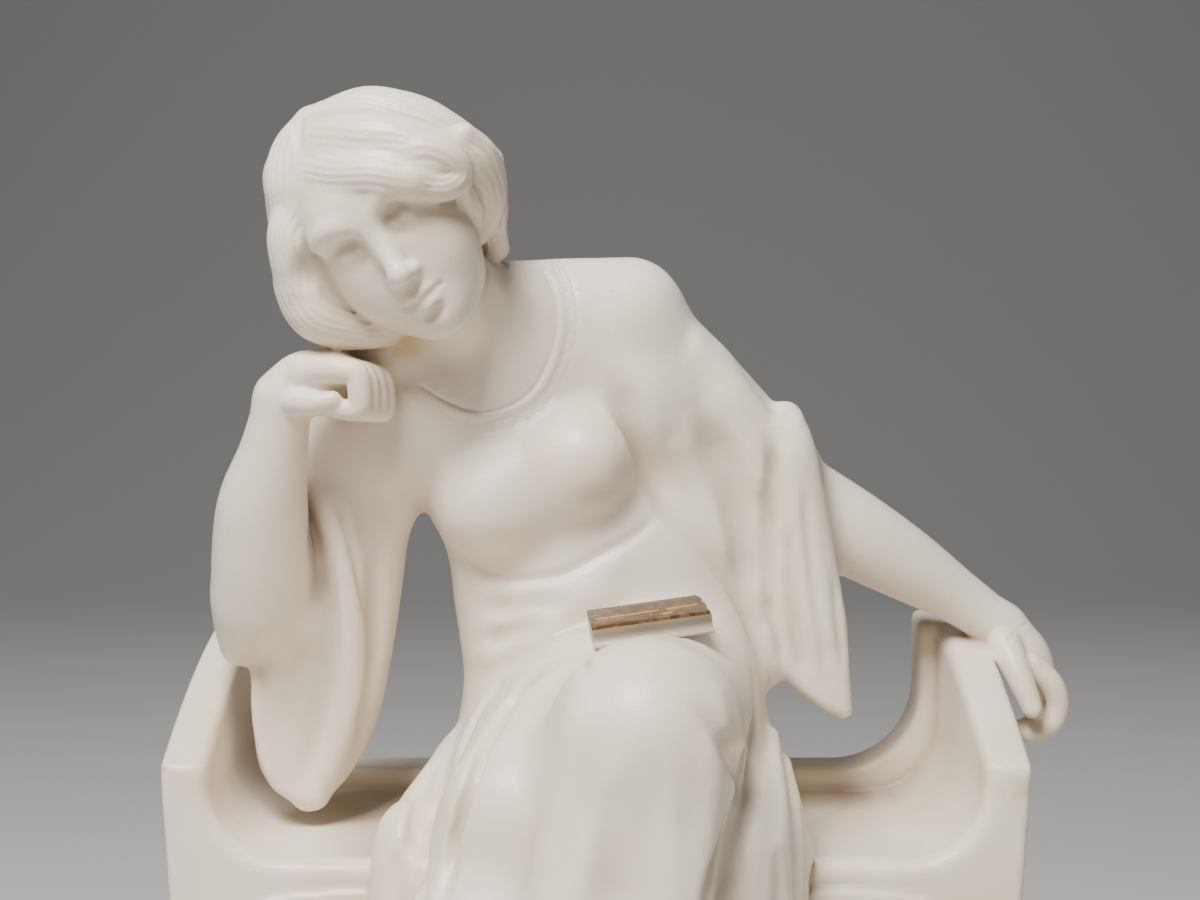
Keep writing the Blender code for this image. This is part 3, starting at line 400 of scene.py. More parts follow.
class Placed:
    """Carves a form in its own upright axes where it stands in the figure."""

    def __init__(self, target, origin, axes, scale):
        self.target = target
        self.origin = np.array(origin, float)
        self.axes = axes
        self.scale = scale

    def spot(self, point):
        return self.origin + self.axes @ np.array(point, float) * self.scale

    def ball(self, centre, radii, blend=0.0, carve=False):
        size = np.array(radii, float) * self.scale
        self.target.ball(self.spot(centre), size, blend * self.scale, self.axes, carve)

    def balls(self, centre, radii, blend=0.0, carve=False):
        """The same ball on both sides."""
        self.ball(centre, radii, blend, carve)
        self.ball((-centre[0], centre[1], centre[2]), radii, blend, carve)

    def rope(self, points, radii, blend=0.0, carve=False):
        size = np.array(radii, float) * self.scale
        self.target.rope([self.spot(p) for p in points], size, blend * self.scale, carve)

    def ropes(self, points, radii, blend=0.0, carve=False):
        """The same rope on both sides."""
        self.rope(points, radii, blend, carve)
        self.rope([(-x, y, z) for x, y, z in points], radii, blend, carve)


def bench(clay):
    """The bench: a block with high ends, hollowed to a seat, with a low wall behind it."""

    def block(x, y, z):
        rise = np.clip(y / BENCH_DEEP, 0, 1)
        top = ARM_FRONT_TOP + (ARM_BACK_TOP - ARM_FRONT_TOP) * (1 - (1 - rise) ** 1.7)
        taper = np.maximum(0.06 * (ARM_FRONT_TOP - z), 0)
        ends = np.abs(x) - BENCH_HALF + taper
        return round_box([ends, np.maximum(-y, y - BENCH_DEEP), np.maximum(z - top, -SEAT - 4 - z)], 1.6)

    def hollow(half, floor, corner, front, back):
        def distance(x, y, z):
            section = round_box([np.abs(x) - half, floor - z], corner)
            return np.maximum(section, np.maximum(front - y, y - back))
        return distance

    def panel(x, y, z):
        edge = -7.5 - 2.5 * np.clip((np.abs(x) - 55) / 32, 0, 2) ** 2
        section = round_box([np.abs(x) - 90, np.maximum(z - edge, 12 - SEAT - z)], 6)
        return np.maximum(section, np.maximum(-1.3 - y, y - 4))

    wall = BENCH_DEEP - BACK_WALL
    clay.shape((-BENCH_HALF, 0, -SEAT - 4), (BENCH_HALF, BENCH_DEEP, ARM_BACK_TOP), block)
    seat = hollow(ARM_INSIDE, 0, 20, -20, wall)
    clay.shape((-ARM_INSIDE, -6, 0), (ARM_INSIDE, wall, ARM_BACK_TOP + 8), seat, 5, carve=True)
    notch = hollow(96, BACK_TOP, 24, wall - 15, BENCH_DEEP + 10)
    clay.shape((-96, wall - 15, BACK_TOP), (96, BENCH_DEEP + 6, ARM_BACK_TOP + 8), notch, 3, carve=True)
    clay.shape((-90, -1.5, 12 - SEAT), (90, 4, -7), panel, 1)
    # Two small chips on the front corner of the end at the viewer's left.
    clay.ball((-112.8, -0.2, 23.8), (1.7, 1.6, 1.4), blend=0.3, carve=True)
    clay.ball((-110.4, -0.6, 22.6), (1.3, 1.3, 1.1), blend=0.3, carve=True)


def plinth(clay):
    """The low base, under the bench and the hem of the gown."""
    half = BENCH_HALF + EDGE
    back = BENCH_DEEP + EDGE
    front = back - PLINTH_DEPTH / MODULE

    def slab(x, y, z):
        return round_box([np.abs(x) - half, np.maximum(front - y, y - back),
                          np.maximum(z + SEAT, -SEAT - PLINTH - z)], 2)

    clay.shape((-half, front, -SEAT - PLINTH), (half, back, -SEAT), slab, 2)


def head(clay):
    """The head upright: chin at z = 0, face towards -y."""
    clay.ball((0, 4, 35), (19.5, 23.5, 20.5))
    clay.ball((0, -7, 23), (16.8, 14.5, 23.5), 8)
    clay.ball((0, -9, 13), (12.2, 11, 12), 6)
    clay.ball((0, -15.3, 4.6), (5.2, 4.8, 5), 6)
    clay.balls((9.6, -12.2, 19), (5.4, 5.6, 6.5), 6)
    clay.ball((0, -17, 34.5), (11.5, 3.6, 5), 6)
    # Eyes cast down: a socket, the upper lid over the ball, the lower lid, and the fold above.
    clay.balls((8.2, -22.3, 28), (5.6, 3.5, 3.6), 3.5, carve=True)
    clay.balls((8.0, -14.9, 25.4), (4.6, 4.4, 3.6), 1.6)
    clay.balls((8.0, -14.9, 27.5), (4.9, 5.1, 3.9), 0.7)
    clay.balls((4.6, -18.6, 27.2), (1.5, 1.5, 1.7), 1.2)
    crease = [(5.4, -20.7, 30.4), (6.8, -21.1, 31.1), (8.6, -21.1, 31.4), (10.8, -20.1, 30.8),
              (12.2, -18.5, 29.8)]
    clay.ropes(crease, [0.3, 0.7, 0.8, 0.7, 0.4], 0.8, carve=True)
    clay.ropes([(2.6, -20.6, 32.6), (7.6, -21.2, 34.8), (13, -17.6, 33.4)], [1.2, 1.5, 1], 3)
    # Nose.
    clay.rope([(0, -19.4, 32.5), (0, -21.9, 25.5), (0, -24.8, 18.9)], [2.2, 2.2, 2.3], 3.2)
    clay.ball((0, -24.9, 18), (2.5, 2.5, 2.3), 1.6)
    clay.balls((2.4, -22.6, 17.3), (1.6, 2.2, 1.5), 1.8)
    clay.balls((1.35, -23.8, 15.75), (0.6, 1, 0.45), 0.4, carve=True)
    # Mouth.
    clay.ropes([(4.6, -18.8, 11.2), (2.4, -21, 12.1), (0.5, -21.8, 11.9), (0, -21.7, 11.7)],
               [0.6, 1.1, 1.1, 1.05], 1.2)
    clay.ropes([(4.2, -18.8, 10), (2.1, -20.8, 9), (0, -21.4, 8.7)], [0.6, 1.2, 1.4], 1.2)
    clay.ropes([(5.4, -20.6, 10.8), (2.6, -22.7, 10.7), (0, -23.35, 10.4)], [0.7, 0.7, 0.7], 0.6,
               carve=True)
    clay.rope([(0, -23.6, 14.8), (0, -23.3, 13.2)], [0.6, 0.8], 0.9, carve=True)
    clay.ball((0, -21.6, 6.1), (3.2, 1.4, 1.2), 1.6, carve=True)
    # The cap of hair and the bun.
    clay.ball((0, 8, 34.5), (21.5, 21, 20), 1)
    clay.ball((0, 27, 20), (13, 10, 11), 3)
    clay.rope([(-9, 29, 24), (0, 37, 29), (10, 33, 22), (4, 31, 12), (-8, 30, 14)],
              [4, 4.5, 4.5, 4.5, 3.5], 1.2)


def hair(clay):
    """Locks laid over the head, where they lie on the whole figure."""
    locks = []

    def lock(points, radii, blend, deep):
        clay.rope(points, radii, blend=blend)
        locks.append((points, radii, deep))

    # The wave swept from the parting over the brow, with its rolled lower edge.
    lock([(-72.5, -0.5, 178), (-64.5, -9.5, 176.8), (-54.5, -14, 175.8), (-46, -14.8, 174.6)],
         [4.2, 5.2, 5.6, 4.8], 2.2, 0.28)
    lock([(-71.5, 1, 185.5), (-60.5, -7, 185.5), (-49.5, -10, 184), (-40, -8, 182.5)], [5.6, 7, 7, 5.6],
         3.5, 0.2)
    lock([(-70.5, 10, 191), (-58.5, 6, 193.6), (-46.5, 5, 191), (-37, 8, 186.5), (-29.5, 17, 181)],
         [5, 6.2, 6.4, 6, 5.5], 3.5, 0.35)
    lock([(-68, 20, 192), (-56, 18, 194), (-44, 18, 191), (-34, 24, 184)], [6, 6.5, 6.5, 5.5], 4, 0.35)
    # The curl at her left temple, the hair over the ear and the small locks at the nape.
    clay.rope([(-44, -4, 179), (-35, 0, 178), (-31, 8, 173), (-31.5, 17, 167)], [8, 8, 7.5, 6.5], blend=4)
    lock([(-48, -13, 181), (-42, -13.6, 181.6), (-36.6, -11.6, 180), (-34.6, -9.5, 176.4),
          (-37.5, -11.5, 173.4), (-43, -13.6, 173.2), (-48, -14, 174.6)], [3.6, 4, 4.2, 4.2, 4, 3.8,
                                                                           3.4], 2.6, 0.3)
    clay.ball((-41, -12.2, 177.2), (4.4, 4, 3.4), blend=2.5)
    lock([(-33, -6, 186.5), (-29.3, -1, 182.5), (-27.4, 5, 178), (-27.3, 11, 172.5)], [3, 3.9, 4, 3.4],
         1.8, 0.35)
    lock([(-36, -8.5, 183), (-32.4, -5, 179.3), (-30.2, 0, 175), (-30, 5.5, 170.5)], [3, 3.7, 3.8, 3.2],
         1.8, 0.35)
    lock([(-35.5, -9.5, 175.6), (-33, -5, 171.6), (-31.8, 0.5, 168), (-32.4, 6, 164)],
         [2.6, 3.2, 3.2, 2.6], 1.8, 0.3)
    lock([(-36, -5, 184), (-30.5, -1, 180.5), (-28.4, 5, 175.5), (-29, 9, 169.5), (-31.5, 13, 163)],
         [4, 4.8, 5, 4.6, 3.6], 2.6, 0.35)
    lock([(-29, 15, 177), (-27.3, 18, 171), (-27.6, 22, 165), (-26.8, 27, 159.5)], [4, 4.2, 4, 3.6], 2.4,
         0.3)
    # The waves from the parting past the cheek to the hand.
    lock([(-73, 8, 189.5), (-76, 4, 182.5), (-77.3, 1.5, 174.5), (-77, 3, 167)], [5.2, 6.8, 7, 5.8], 3,
         0.35)
    lock([(-74.5, 0.5, 169), (-77, 0, 163), (-76.8, 1, 156.5), (-75.5, 3, 150)], [5, 6.2, 6.4, 6.2], 2.4,
         0.35)
    lock([(-76, 7, 156), (-75.5, 5, 148), (-71.5, 5, 141.5), (-63, 8, 138.5), (-55, 12, 139)],
         [6, 6.8, 7, 6, 6], 2.5, 0.35)
    clay.rope([(-71, 2, 184), (-72.5, 0.5, 175), (-71.5, 1.5, 166), (-70, 5, 156), (-68.5, 8, 147)],
              [7, 7, 6.6, 7, 7.6], blend=3)
    clay.ball((-72.5, -4.5, 152.5), (3.4, 3.4, 5), blend=2.5, carve=True)
    # The back of the head down to the nape.
    clay.rope([(-75.5, 22, 177), (-70.5, 26, 161.5), (-60.5, 28, 148)], [12.5, 15, 13], blend=6)
    for points, radii, deep in locks:
        clay.comb(points, radii, STRAND, deep)
    # The parting.
    clay.rope([(-72.6, 16, 199), (-73.6, 8, 197.6), (-75.3, -1, 191.5), (-74.8, -6.5, 184)],
              [1.2, 1.8, 1.8, 1.2], blend=1.5, carve=True)


def torso(clay):
    """Her body from the seat to the neck, under the gown."""
    clay.ball((2.5, 44, 21.5), (41, 30, 27), 6)
    clay.ball((1, 42, 49), (38, 26, 30), 12, turn(roll=-6))
    clay.ball((-8.5, 42, 73.5), (32, 21.5, 26), 12, turn(roll=-18))
    clay.ball((-19, 40, 101.5), (31, 21, 30), 10, turn(roll=-26))
    clay.ball((16.5, 46, 73), (20, 20, 32), 12, turn(roll=-35))
    clay.ball((8, 42, 121), (17, 16, 24), 10, turn(roll=-30))
    # Shoulders and neck.
    clay.rope([(-53, 34, 104.5), (-32, 38, 120.5), (-10, 42, 134.5), (10, 44, 141.5)], [12, 17, 17, 12.5],
              8)
    clay.rope([(-30, 36, 128), (-48, 34, 121), (-61.5, 36, 112), (-70, 38, 104)], [14, 14.5, 14.5, 12.5], 8)
    clay.ball((-51, 25, 139), (11, 10, 12), 7)
    clay.ball((-60, 24, 132.5), (10, 9, 9), 6)
    clay.rope([(-31.5, 32, 146), (-10, 40, 145.5), (8.5, 44, 144)], [10, 11, 12], 8)
    clay.rope([(-39, 20, 148), (-32.5, 30, 137.5), (-28.5, 38, 126.5)], [13, 12.4, 15], 6)
    # Bust under the gown, bridged by the cloth.
    clay.ball((-16, 29, 97), (17, 13.5, 13), 9, turn(roll=-26))
    clay.ball((-3.5, 26.5, 102.5), (13.5, 14.5, 14), 7)
    clay.ball((-29, 26, 90.5), (14, 13.5, 13), 8)


def right_arm(clay):
    """Her right arm, at the viewer's left: elbow on the bench end, fist under the head."""
    clay.rope([(-53.5, 36, 102.5), (-68, 40, 93.5), (-81.5, 42, 73.5), (-93, 42, 59)], [12, 12.5, 13, 12],
              6)
    forearm = [(-81, 8, 119.5), (-84.5, 12, 105), (-88.5, 18, 90), (-90, 26, 71.5), (-91.5, 32, 60.5)]
    clay.rope(forearm, [7.2, 9, 12, 13.6, 12], 3)
    clay.rope([(-91, 30, 64), (-97.5, 34, 51)], [12, 5.5], 5)
    # Hanging sleeve.
    clay.rope([(-57.5, 36, 91), (-62, 40, 57), (-68, 42, 27.5), (-77.5, 38, 8.5)], [6.5, 6.5, 6, 3], 5)
    clay.ball((-65, 38, 92), (13, 8, 15), 8)
    roll = [(-80, 34, 98), (-74, 29.5, 94), (-70, 27, 85), (-68, 26, 74), (-66.8, 27, 60), (-67, 29.5, 43),
            (-70.5, 32.5, 25), (-77, 35.5, 9.5)]
    clay.rope(roll, [3, 4.2, 4.4, 4.2, 4, 4, 3.8, 2.4], 3.5)
    clay.rope([(-81, 34, 58), (-86, 38, 35), (-86.5, 38, 18.5), (-81, 36, 8.5)], [9, 8, 7, 3], 6)
    clay.rope([(-68, 40, 74), (-71.5, 42, 45.5), (-75.5, 40, 18)], [12, 10, 5], 6)
    inside = [(-79, 21, 87), (-75.5, 22, 81), (-73, 22.5, 73), (-71.8, 24.5, 60), (-72.5, 27, 43),
              (-76, 30, 30)]
    clay.rope(inside, [0.8, 1.8, 2.2, 2.2, 1.8, 0.8], 2.5, carve=True)
    clay.rope([(-78.5, 25, 49), (-81.5, 24, 42), (-83.5, 25, 32), (-83.5, 27, 20)], [3, 6, 7, 4], 2.5,
              carve=True)
    clay.rope([(-93.5, 33, 46), (-92.6, 31.5, 33), (-90.6, 31, 21), (-87, 32.5, 12.5), (-79, 35, 8.5)],
              [1.2, 1.8, 1.9, 1.9, 1.6], 1.8)
    clay.groove([(-71, 97), (-68.5, 90), (-65.2, 79), (-62.8, 65), (-62.2, 53), (-63, 41), (-65.4, 28)],
                [1, 1.4, 1.4, 1.4, 1.4, 1.4, 1], [0.8, 1.8, 2.2, 2.2, 2, 1.8, 1], 1.6)
    clay.groove([(-59, 86), (-59.6, 72), (-60.6, 56), (-62, 38)], [1.4, 2, 2, 1.4], [0.8, 1.6, 1.8, 1], 2.4)
    # Fist: the back of the hand, four hooked fingers one behind the other, and the thumb.
    clay.rope([(-81.5, 9, 120), (-76, 8, 124.8), (-69, 8, 126)], [7.2, 7.2, 6.6], 2.5)
    clay.rope([(-74, 8, 122.5), (-66, 9, 122.3), (-60.5, 11, 121.5)], [7, 7.4, 6.4], 2.5)
    for finger in range(4):
        thin = 1 - 0.05 * finger
        x, y, z = 1.7 * finger, 4.6 * finger, -0.5 * finger
        clay.rope([(-75 + x, 3 + y, 127 + z), (-68 + x, 0.5 + y, 127.6 + z),
                   (-64 + x, -0.5 + y, 127.2 + z)], [3.4, 3.4, 3.3], 2.6)
        curl = [(-66 + x, -0.2 + y, 127.4 + z), (-61.4 + x, -0.8 + y, 126.6 + z),
                (-60.2 + x, -1 + y, 122 + z), (-60.7 + x, -0.8 + y, 117.6 + z), (-65.8 + x, 0.4 + y,
                                                                                 117.4 + z)]
        clay.rope(curl, [3.3 * thin, 3.3 * thin, 3.1 * thin, 2.9 * thin, 2.6 * thin], 0.5)
    clay.rope([(-77, 2, 119.5), (-71.5, -0.5, 119), (-67, -1.5, 120)], [3.6, 3, 2.2], 1.6)


def left_arm(clay):
    """Her left arm, at the viewer's right: stretched down to the other bench end."""
    clay.rope([(8.5, 44, 140.5), (29, 52, 119), (49, 58, 98.5)], [13.5, 14, 12.5], 6)
    forearm = [(54, 60, 91.5), (73, 62, 79.5), (89, 64, 70), (104, 66, 60.5), (117.5, 66, 51)]
    clay.rope(forearm, [12.5, 12.3, 10.5, 8, 6.8], 4)
    # The hand laid over the bench end: its back, the thumb with its nail, and the fingers curled under.
    clay.rope([(117.5, 66, 51), (123.8, 64, 43.5), (126.8, 62, 35.5)], [6.9, 7.2, 6.6], 3)
    for finger in range(4):
        thin = 1 - 0.05 * finger
        x, y, z = -0.3 * finger, 54.5 + 4.9 * finger, -0.5 * finger
        curl = [(124.5, y + 1, 42 + z), (129.7 + x, y, 36.5 + z), (131.6 + x, y, 30.5 + z),
                (129.5 + x, y - 0.5, 25 + z), (123.5 + x, y - 1, 22.5 + z)]
        clay.rope(curl, [3.4 * thin, 3.5 * thin, 3.3 * thin, 3.1 * thin, 2.6 * thin], 0.7)
    clay.rope([(117, 59, 47), (118.6, 54, 42.5), (120.8, 50, 36.5), (122.7, 47.5, 31)], [5, 4.3, 3.6, 3],
              1.2)
    clay.ball((123, 45.2, 30.6), (1.8, 1, 2), 0.5)


def left_sleeve(clay):
    """The wide sleeve that falls from her left arm, with its flutes."""
    edge = [(11.5, 118), (14, 101), (18.5, 91.5), (37, 64), (45.5, 46), (48.5, 40), (52.4, 40.5),
            (57, 36), (63, 31.5), (68.8, 28.5), (71.7, 30), (71, 39.5), (70, 56), (67, 72.5), (64, 89),
            (61.5, 102), (58.8, 109.5), (56.5, 113), (48.5, 113.5), (28, 134.5)]

    def cloth(x, y, z):
        middle = 46 + 0.1 * (x - 30)
        return round_box([outline_distance(x, z, edge), np.abs(y - middle) - 8.5], 3)

    clay.shape((11, 32, 27), (72, 64, 135), cloth, 6)
    # The roll along the outer edge, and the upper arm that shows as a tongue beside it.
    clay.ridge([(53, 113), (54.5, 100), (57, 80), (61, 58), (66, 36)], [4.5, 5.5, 5.5, 5, 3.5], 3, 3.5)
    clay.ridge([(30, 126), (38, 112), (43.5, 100), (45.5, 90)], [7, 7, 5.5, 3], 1.6, 4)
    clay.ridge([(20, 119), (25, 100), (33, 84), (39, 70)], [5.5, 6, 5.5, 3.5], 1.8, 4)
    clay.ridge([(46.5, 56), (48, 49), (49, 43)], [2.5, 2.5, 2], 1.2, 2.5)
    # The hollow between them, and the narrow lines down to the hem.
    clay.groove([(29, 116), (35, 102), (40, 88), (43, 74), (44.5, 62)], [2.5, 4, 5, 5, 3],
                [1.8, 3.2, 4.4, 4, 2], 4)
    clay.groove([(48.5, 111), (48.5, 98), (48, 84), (48, 68), (49.5, 52)], [1.2, 1.8, 2.4, 2.2, 1.5],
                [2.2, 3.2, 3.4, 2.6, 1.4], 2.4)
    clay.groove([(57, 100), (58.5, 84), (60.5, 66), (63, 50), (66, 38)], [1, 1.6, 1.8, 1.8, 1.2], 1.6, 1.8)
    clay.groove([(52, 86), (53.5, 70), (56, 52), (59.5, 38)], [1.2, 1.8, 1.8, 1.2], 1.8, 1.8)
    clay.groove([(47.5, 66), (49.5, 56), (52, 44)], [1, 1.6, 1.2], 1.6, 1.6)
    clay.groove([(66, 72), (67.5, 56), (69.2, 40)], [0.8, 1.2, 0.8], 1, 1.4)


def lap_and_skirt(clay):
    """The crossed legs under the gown, and the cloth at their sides down to the base."""
    floor = -SEAT
    # The left thigh, the right one under it, then both legs and the cloth between them.
    clay.rope([(24, 45, 40), (21, 15, 39.5), (15.5, -10, 39.5), (12, -34, 40)], [22, 22, 22, 21.5], 10)
    clay.ball((-3, 4, 43), (17, 20, 15), 8)
    clay.rope([(-6, 44, 22.5), (-12, 10, 21.5), (-18, -22, 18)], [26, 24, 21], 12)
    clay.rope([(12, -34, 39.5), (3, -44, -12), (-8, -46, -60), (-14, -48, floor + 4)], [21, 23, 27, 31], 10)
    clay.rope([(-22, -22, 0), (-26, -32, -20), (-27, -36, -60), (-28, -38, floor + 4)], [20, 24, 28, 33],
              10)
    clay.rope([(0, 20, 0), (0, -8, -40), (2, -16, -75), (2, -20, floor + 4)], [42, 42, 44, 50], 12)
    # Cloth gathered over the edge of the seat on both sides.
    clay.rope([(-36, 28, 18), (-45, 9, 8), (-48.5, -3, 0), (-45, -10, -60), (-46, -14, floor + 4)],
              [9, 9, 9.5, 14, 18], 7)
    clay.rope([(37, 26, 24), (42, 7, 14), (43.5, -4, 2), (40, -12, -60), (42, -16, floor + 4)],
              [9, 10.5, 11, 14, 18], 7)
    clay.rope([(29.5, 30, 34), (32.5, 5, 18), (32.5, -20, 6), (30, -26, -60), (30, -28, floor + 4)],
              [14, 15, 16, 20, 26], 8)
    clay.ball((50, 0, 3), (6, 8, 5), 4)


def drapery(clay):
    """The folds of the gown, as grooves and ridges along its surface."""
    floor = -SEAT + 2
    # The edge of the upper leg's cloth, and the soft fold beside it.
    clay.groove([(-2, 58), (-9, 54.5), (-17, 48), (-25, 39), (-30, 26.5), (-34.5, 11), (-40, -4)],
                [1, 1.6, 2, 2.2, 2.2, 2.2, 2.2], [0.8, 2.6, 4.2, 5, 5.2, 5, 4.4], 1.8)
    clay.groove([(-27, 44), (-35, 31), (-40.5, 17), (-45, -4)], [1.6, 2.8, 3.2, 3.2], [0.5, 1.6, 2.2, 2.2],
                3.6)
    # The broad valley down the middle of the leg, between two soft ridges.
    clay.ridge([(-1, 52), (-2.5, 44), (-5.5, 28), (-9.5, 7), (-11.5, -12)], [3, 4.5, 5, 5, 5],
               [0.2, 1, 1.5, 1.5, 1.5], 5)
    clay.ridge([(26, 50), (26, 40), (24.5, 25), (22, 6), (21, -12)], [3, 4, 4.5, 4.5, 4.5],
               [0.2, 0.9, 1.3, 1.3, 1.3], 4.5)
    clay.groove([(11.5, 42), (11, 35), (9.5, 25), (7.5, 12), (6.5, 0), (6, -12)], [9, 14, 18, 21, 22, 22],
                [0, 0.9, 3.4, 5.4, 6.4, 6.8], 2.6)
    clay.groove([(4, 36), (3, 26), (4.5, 14), (7, 2)], [2, 3, 3, 2], [0.2, 1, 1, 0.4], 4)
    # The grooves at the outer side of the knee.
    clay.groove([(33, 42), (32.5, 32), (30.5, 22), (27.5, 10), (25, -12)], [1.4, 2, 2.4, 2.6, 2.6],
                [0.2, 1.6, 2.6, 3, 3], 3)
    clay.ridge([(36, 32), (33.5, 20), (30.5, 6), (28.5, -8)], [1.8, 2.4, 2.6, 2.6], [0.1, 0.5, 0.7, 0.7], 3)
    clay.groove([(42.5, 46), (42, 36), (38.5, 24), (34.5, 11), (30.5, -6)], [1.2, 2, 2.6, 2.8, 2.8],
                [0.2, 1.1, 1.9, 2.4, 2.4], 3.4)
    clay.ridge([(46.5, 30), (45, 18), (42.5, 4)], [1.8, 2.6, 2.8], 1.1, 3)
    # The cloth bunched over the edge of the seat.
    clay.groove([(-45, 21), (-45.8, 14), (-46.5, 5)], [1.2, 2, 1.4], 2.6, 2.6)
    clay.groove([(-51, 9), (-50.5, -6), (-49, -18)], [1.8, 2.4, 2.4], 1.8, 3)
    clay.ridge([(49.5, 24), (50, 8), (49, -12)], [1.6, 2.2, 2.4], 1.4, 3)
    clay.groove([(45.5, 14), (46, 2), (45, -14)], [1.4, 2.2, 2.4], 1.2, 3)
    # The same folds run on down to the hem.
    grooves = [(-36, -42, 2.6), (-27, -31, 2.6), (6, 5, 7), (24, 27, 3), (31, 37, 2.8)]
    ridges = [(-31, -36, 3), (-11.5, -16, 4.5), (19, 20, 4), (27.5, 32, 3.5)]
    for top, foot, radius in grooves + ridges:
        line = [(top + (foot - top) * share, -2 + (floor + 2) * share) for share in (0, 0.33, 0.67, 1.1)]
        if (top, foot, radius) in grooves:
            clay.groove(line, [radius * 0.8, radius, radius, radius * 1.3], radius * 0.85, 4)
        else:
            clay.ridge(line, [radius * 0.8, radius, radius * 1.1, radius * 1.3], 1.6, 3.5)
    # The seam under the bust, and the cloth below it.
    clay.groove([(-37, 77), (-33.5, 73), (-24, 70.8), (-10, 72.4), (1, 78), (9, 82), (15, 86.5), (19, 92)],
                1.1, 0.9, 1.4)
    clay.ridge([(-35, 69), (-22, 66.5), (-8, 68), (3, 73), (12, 79)], [1.6, 2.4, 2.4, 2.4, 1.6], 0.8, 3)
    clay.ridge([(-30, 57.5), (-20, 60.5), (-3.5, 65.5), (8, 70)], [2, 3, 3, 2], 1, 4)
    clay.groove([(-31, 62), (-21, 64), (-5, 66)], [1.2, 2, 1.4], 0.9, 3)
    clay.ridge([(-31, 48), (-25, 51.5), (-16, 56.5), (-6, 61)], [2, 2.8, 3, 2], 1.2, 3.5)
    clay.groove([(-31, 53), (-24, 56.5), (-13, 60.5)], [1.2, 2, 1.4], 1, 3)
    clay.groove([(26, 52.5), (32.5, 39.5), (36.5, 26.5)], [2, 3, 2.5], 1.2, 4)
    # Between the body and the left sleeve.
    line = [(3, 137), (5.5, 124), (9.5, 115), (13.5, 102), (19, 90.5), (29, 79), (38.5, 66),
            (45.5, 49.5), (47, 40)]
    clay.groove(line, [2.4, 3.6, 3.8, 3.4, 3, 2.4, 2, 1.8, 1.5], [0.8, 2.6, 4, 4.2, 3.6, 3, 2.6, 2.2, 2], 4)
    # Down the back, fanning out from between the shoulders to the seat.
    for top, foot in ((-26, -34), (-17, -19), (-6, -3), (5, 14), (15, 30)):
        line = [(top, 112), ((top + foot) / 2, 80), (foot, 48), (foot * 1.15, 16)]
        clay.groove(line, [2, 3, 3.4, 3], 1.6, 5, side=1)


def etch(clay, points, width, deep):
    """A thin line cut into the front of the figure, in the finer blocks alone."""
    path = np.array(points, float)
    depth = np.array([clay.blocks[0].depth(x, z, -1) for x, z in path])
    depth = np.convolve(np.pad(depth, 3, mode="edge"), np.ones(7) / 7, mode="valid")
    centre = np.column_stack([path[:, 0], depth - width / 2 + deep, path[:, 1]])
    clay.details.rope(centre, [width / 2], blend=0.15, carve=True, smooth=False)


def neckline(clay):
    """The round neck of the gown: a low rim, and an etched border of two lines and a zigzag."""
    rim = [(-13.5, 155), (-10.5, 148.5), (-9.2, 141), (-10.2, 133.5), (-13.3, 125), (-18.2, 118.8),
           (-24.5, 115.6), (-30, 114.7), (-35.5, 115.6), (-41.5, 118.2), (-47, 121.5)]
    clay.ridge(rim, 1.2, 0.55, 1.4)
    path = flow(rim, 101)
    ahead = np.gradient(path, axis=0)
    out = np.column_stack([-ahead[:, 1], ahead[:, 0]]) / np.linalg.norm(ahead, axis=1)[:, None]
    for place, width, deep in NECK_LINES:
        etch(clay, path + out * place, width, deep)
    zigzag = BORDER_START + BORDER / 2 + 0.32 * BORDER * np.where(np.arange(len(path)) % 2, 1, -1)
    etch(clay, path + out * zigzag[:, None], 0.35, 0.18)


def wrist_line(clay):
    """The hairline across her left wrist."""
    across = np.linspace(0, 1, 41)
    bow = 0.5 * np.sin(math.pi * across)
    etch(clay, np.column_stack([116 + 7.6 * across - bow, 47.9 + 5 * across + bow]), 0.5, 0.22)


def stains(places):
    """How stained each place is. A spot has its centre, its reach along the axes and its strength.

    They lie under the chin, in a hollow of the hair, by the mouth, under the bust, at the armpit and on
    the front edges of the bench ends. The one under the bust is painted shade, below its overhang.
    """
    # The spot under the bust is painted shade; the others are old stains.
    spots = [((-50, 18, 134), (6, 16, 5), 1), ((-71, 2, 151.5), (4.5, 10, 4.5), 0.5),
             ((-39.5, -13, 143.5), (2.6, 8, 2.6), 0.7), ((1, 14, 94), (8, 14, 4), 0.4),
             ((-50.5, 22, 94), (4, 12, 5), 0.4), ((112, -1, 18.5), (9, 3, 2.6), 0.75),
             ((-110, -1, 22), (8, 3, 4), 0.4), ((-101, 20, 32), (2, 26, 5), 0.3)]
    total = np.zeros(len(places))
    for centre, reach, strength in spots:
        far = (((places - centre) / reach) ** 2).sum(1)
        total = np.maximum(total, strength * np.exp(-far))
    return total


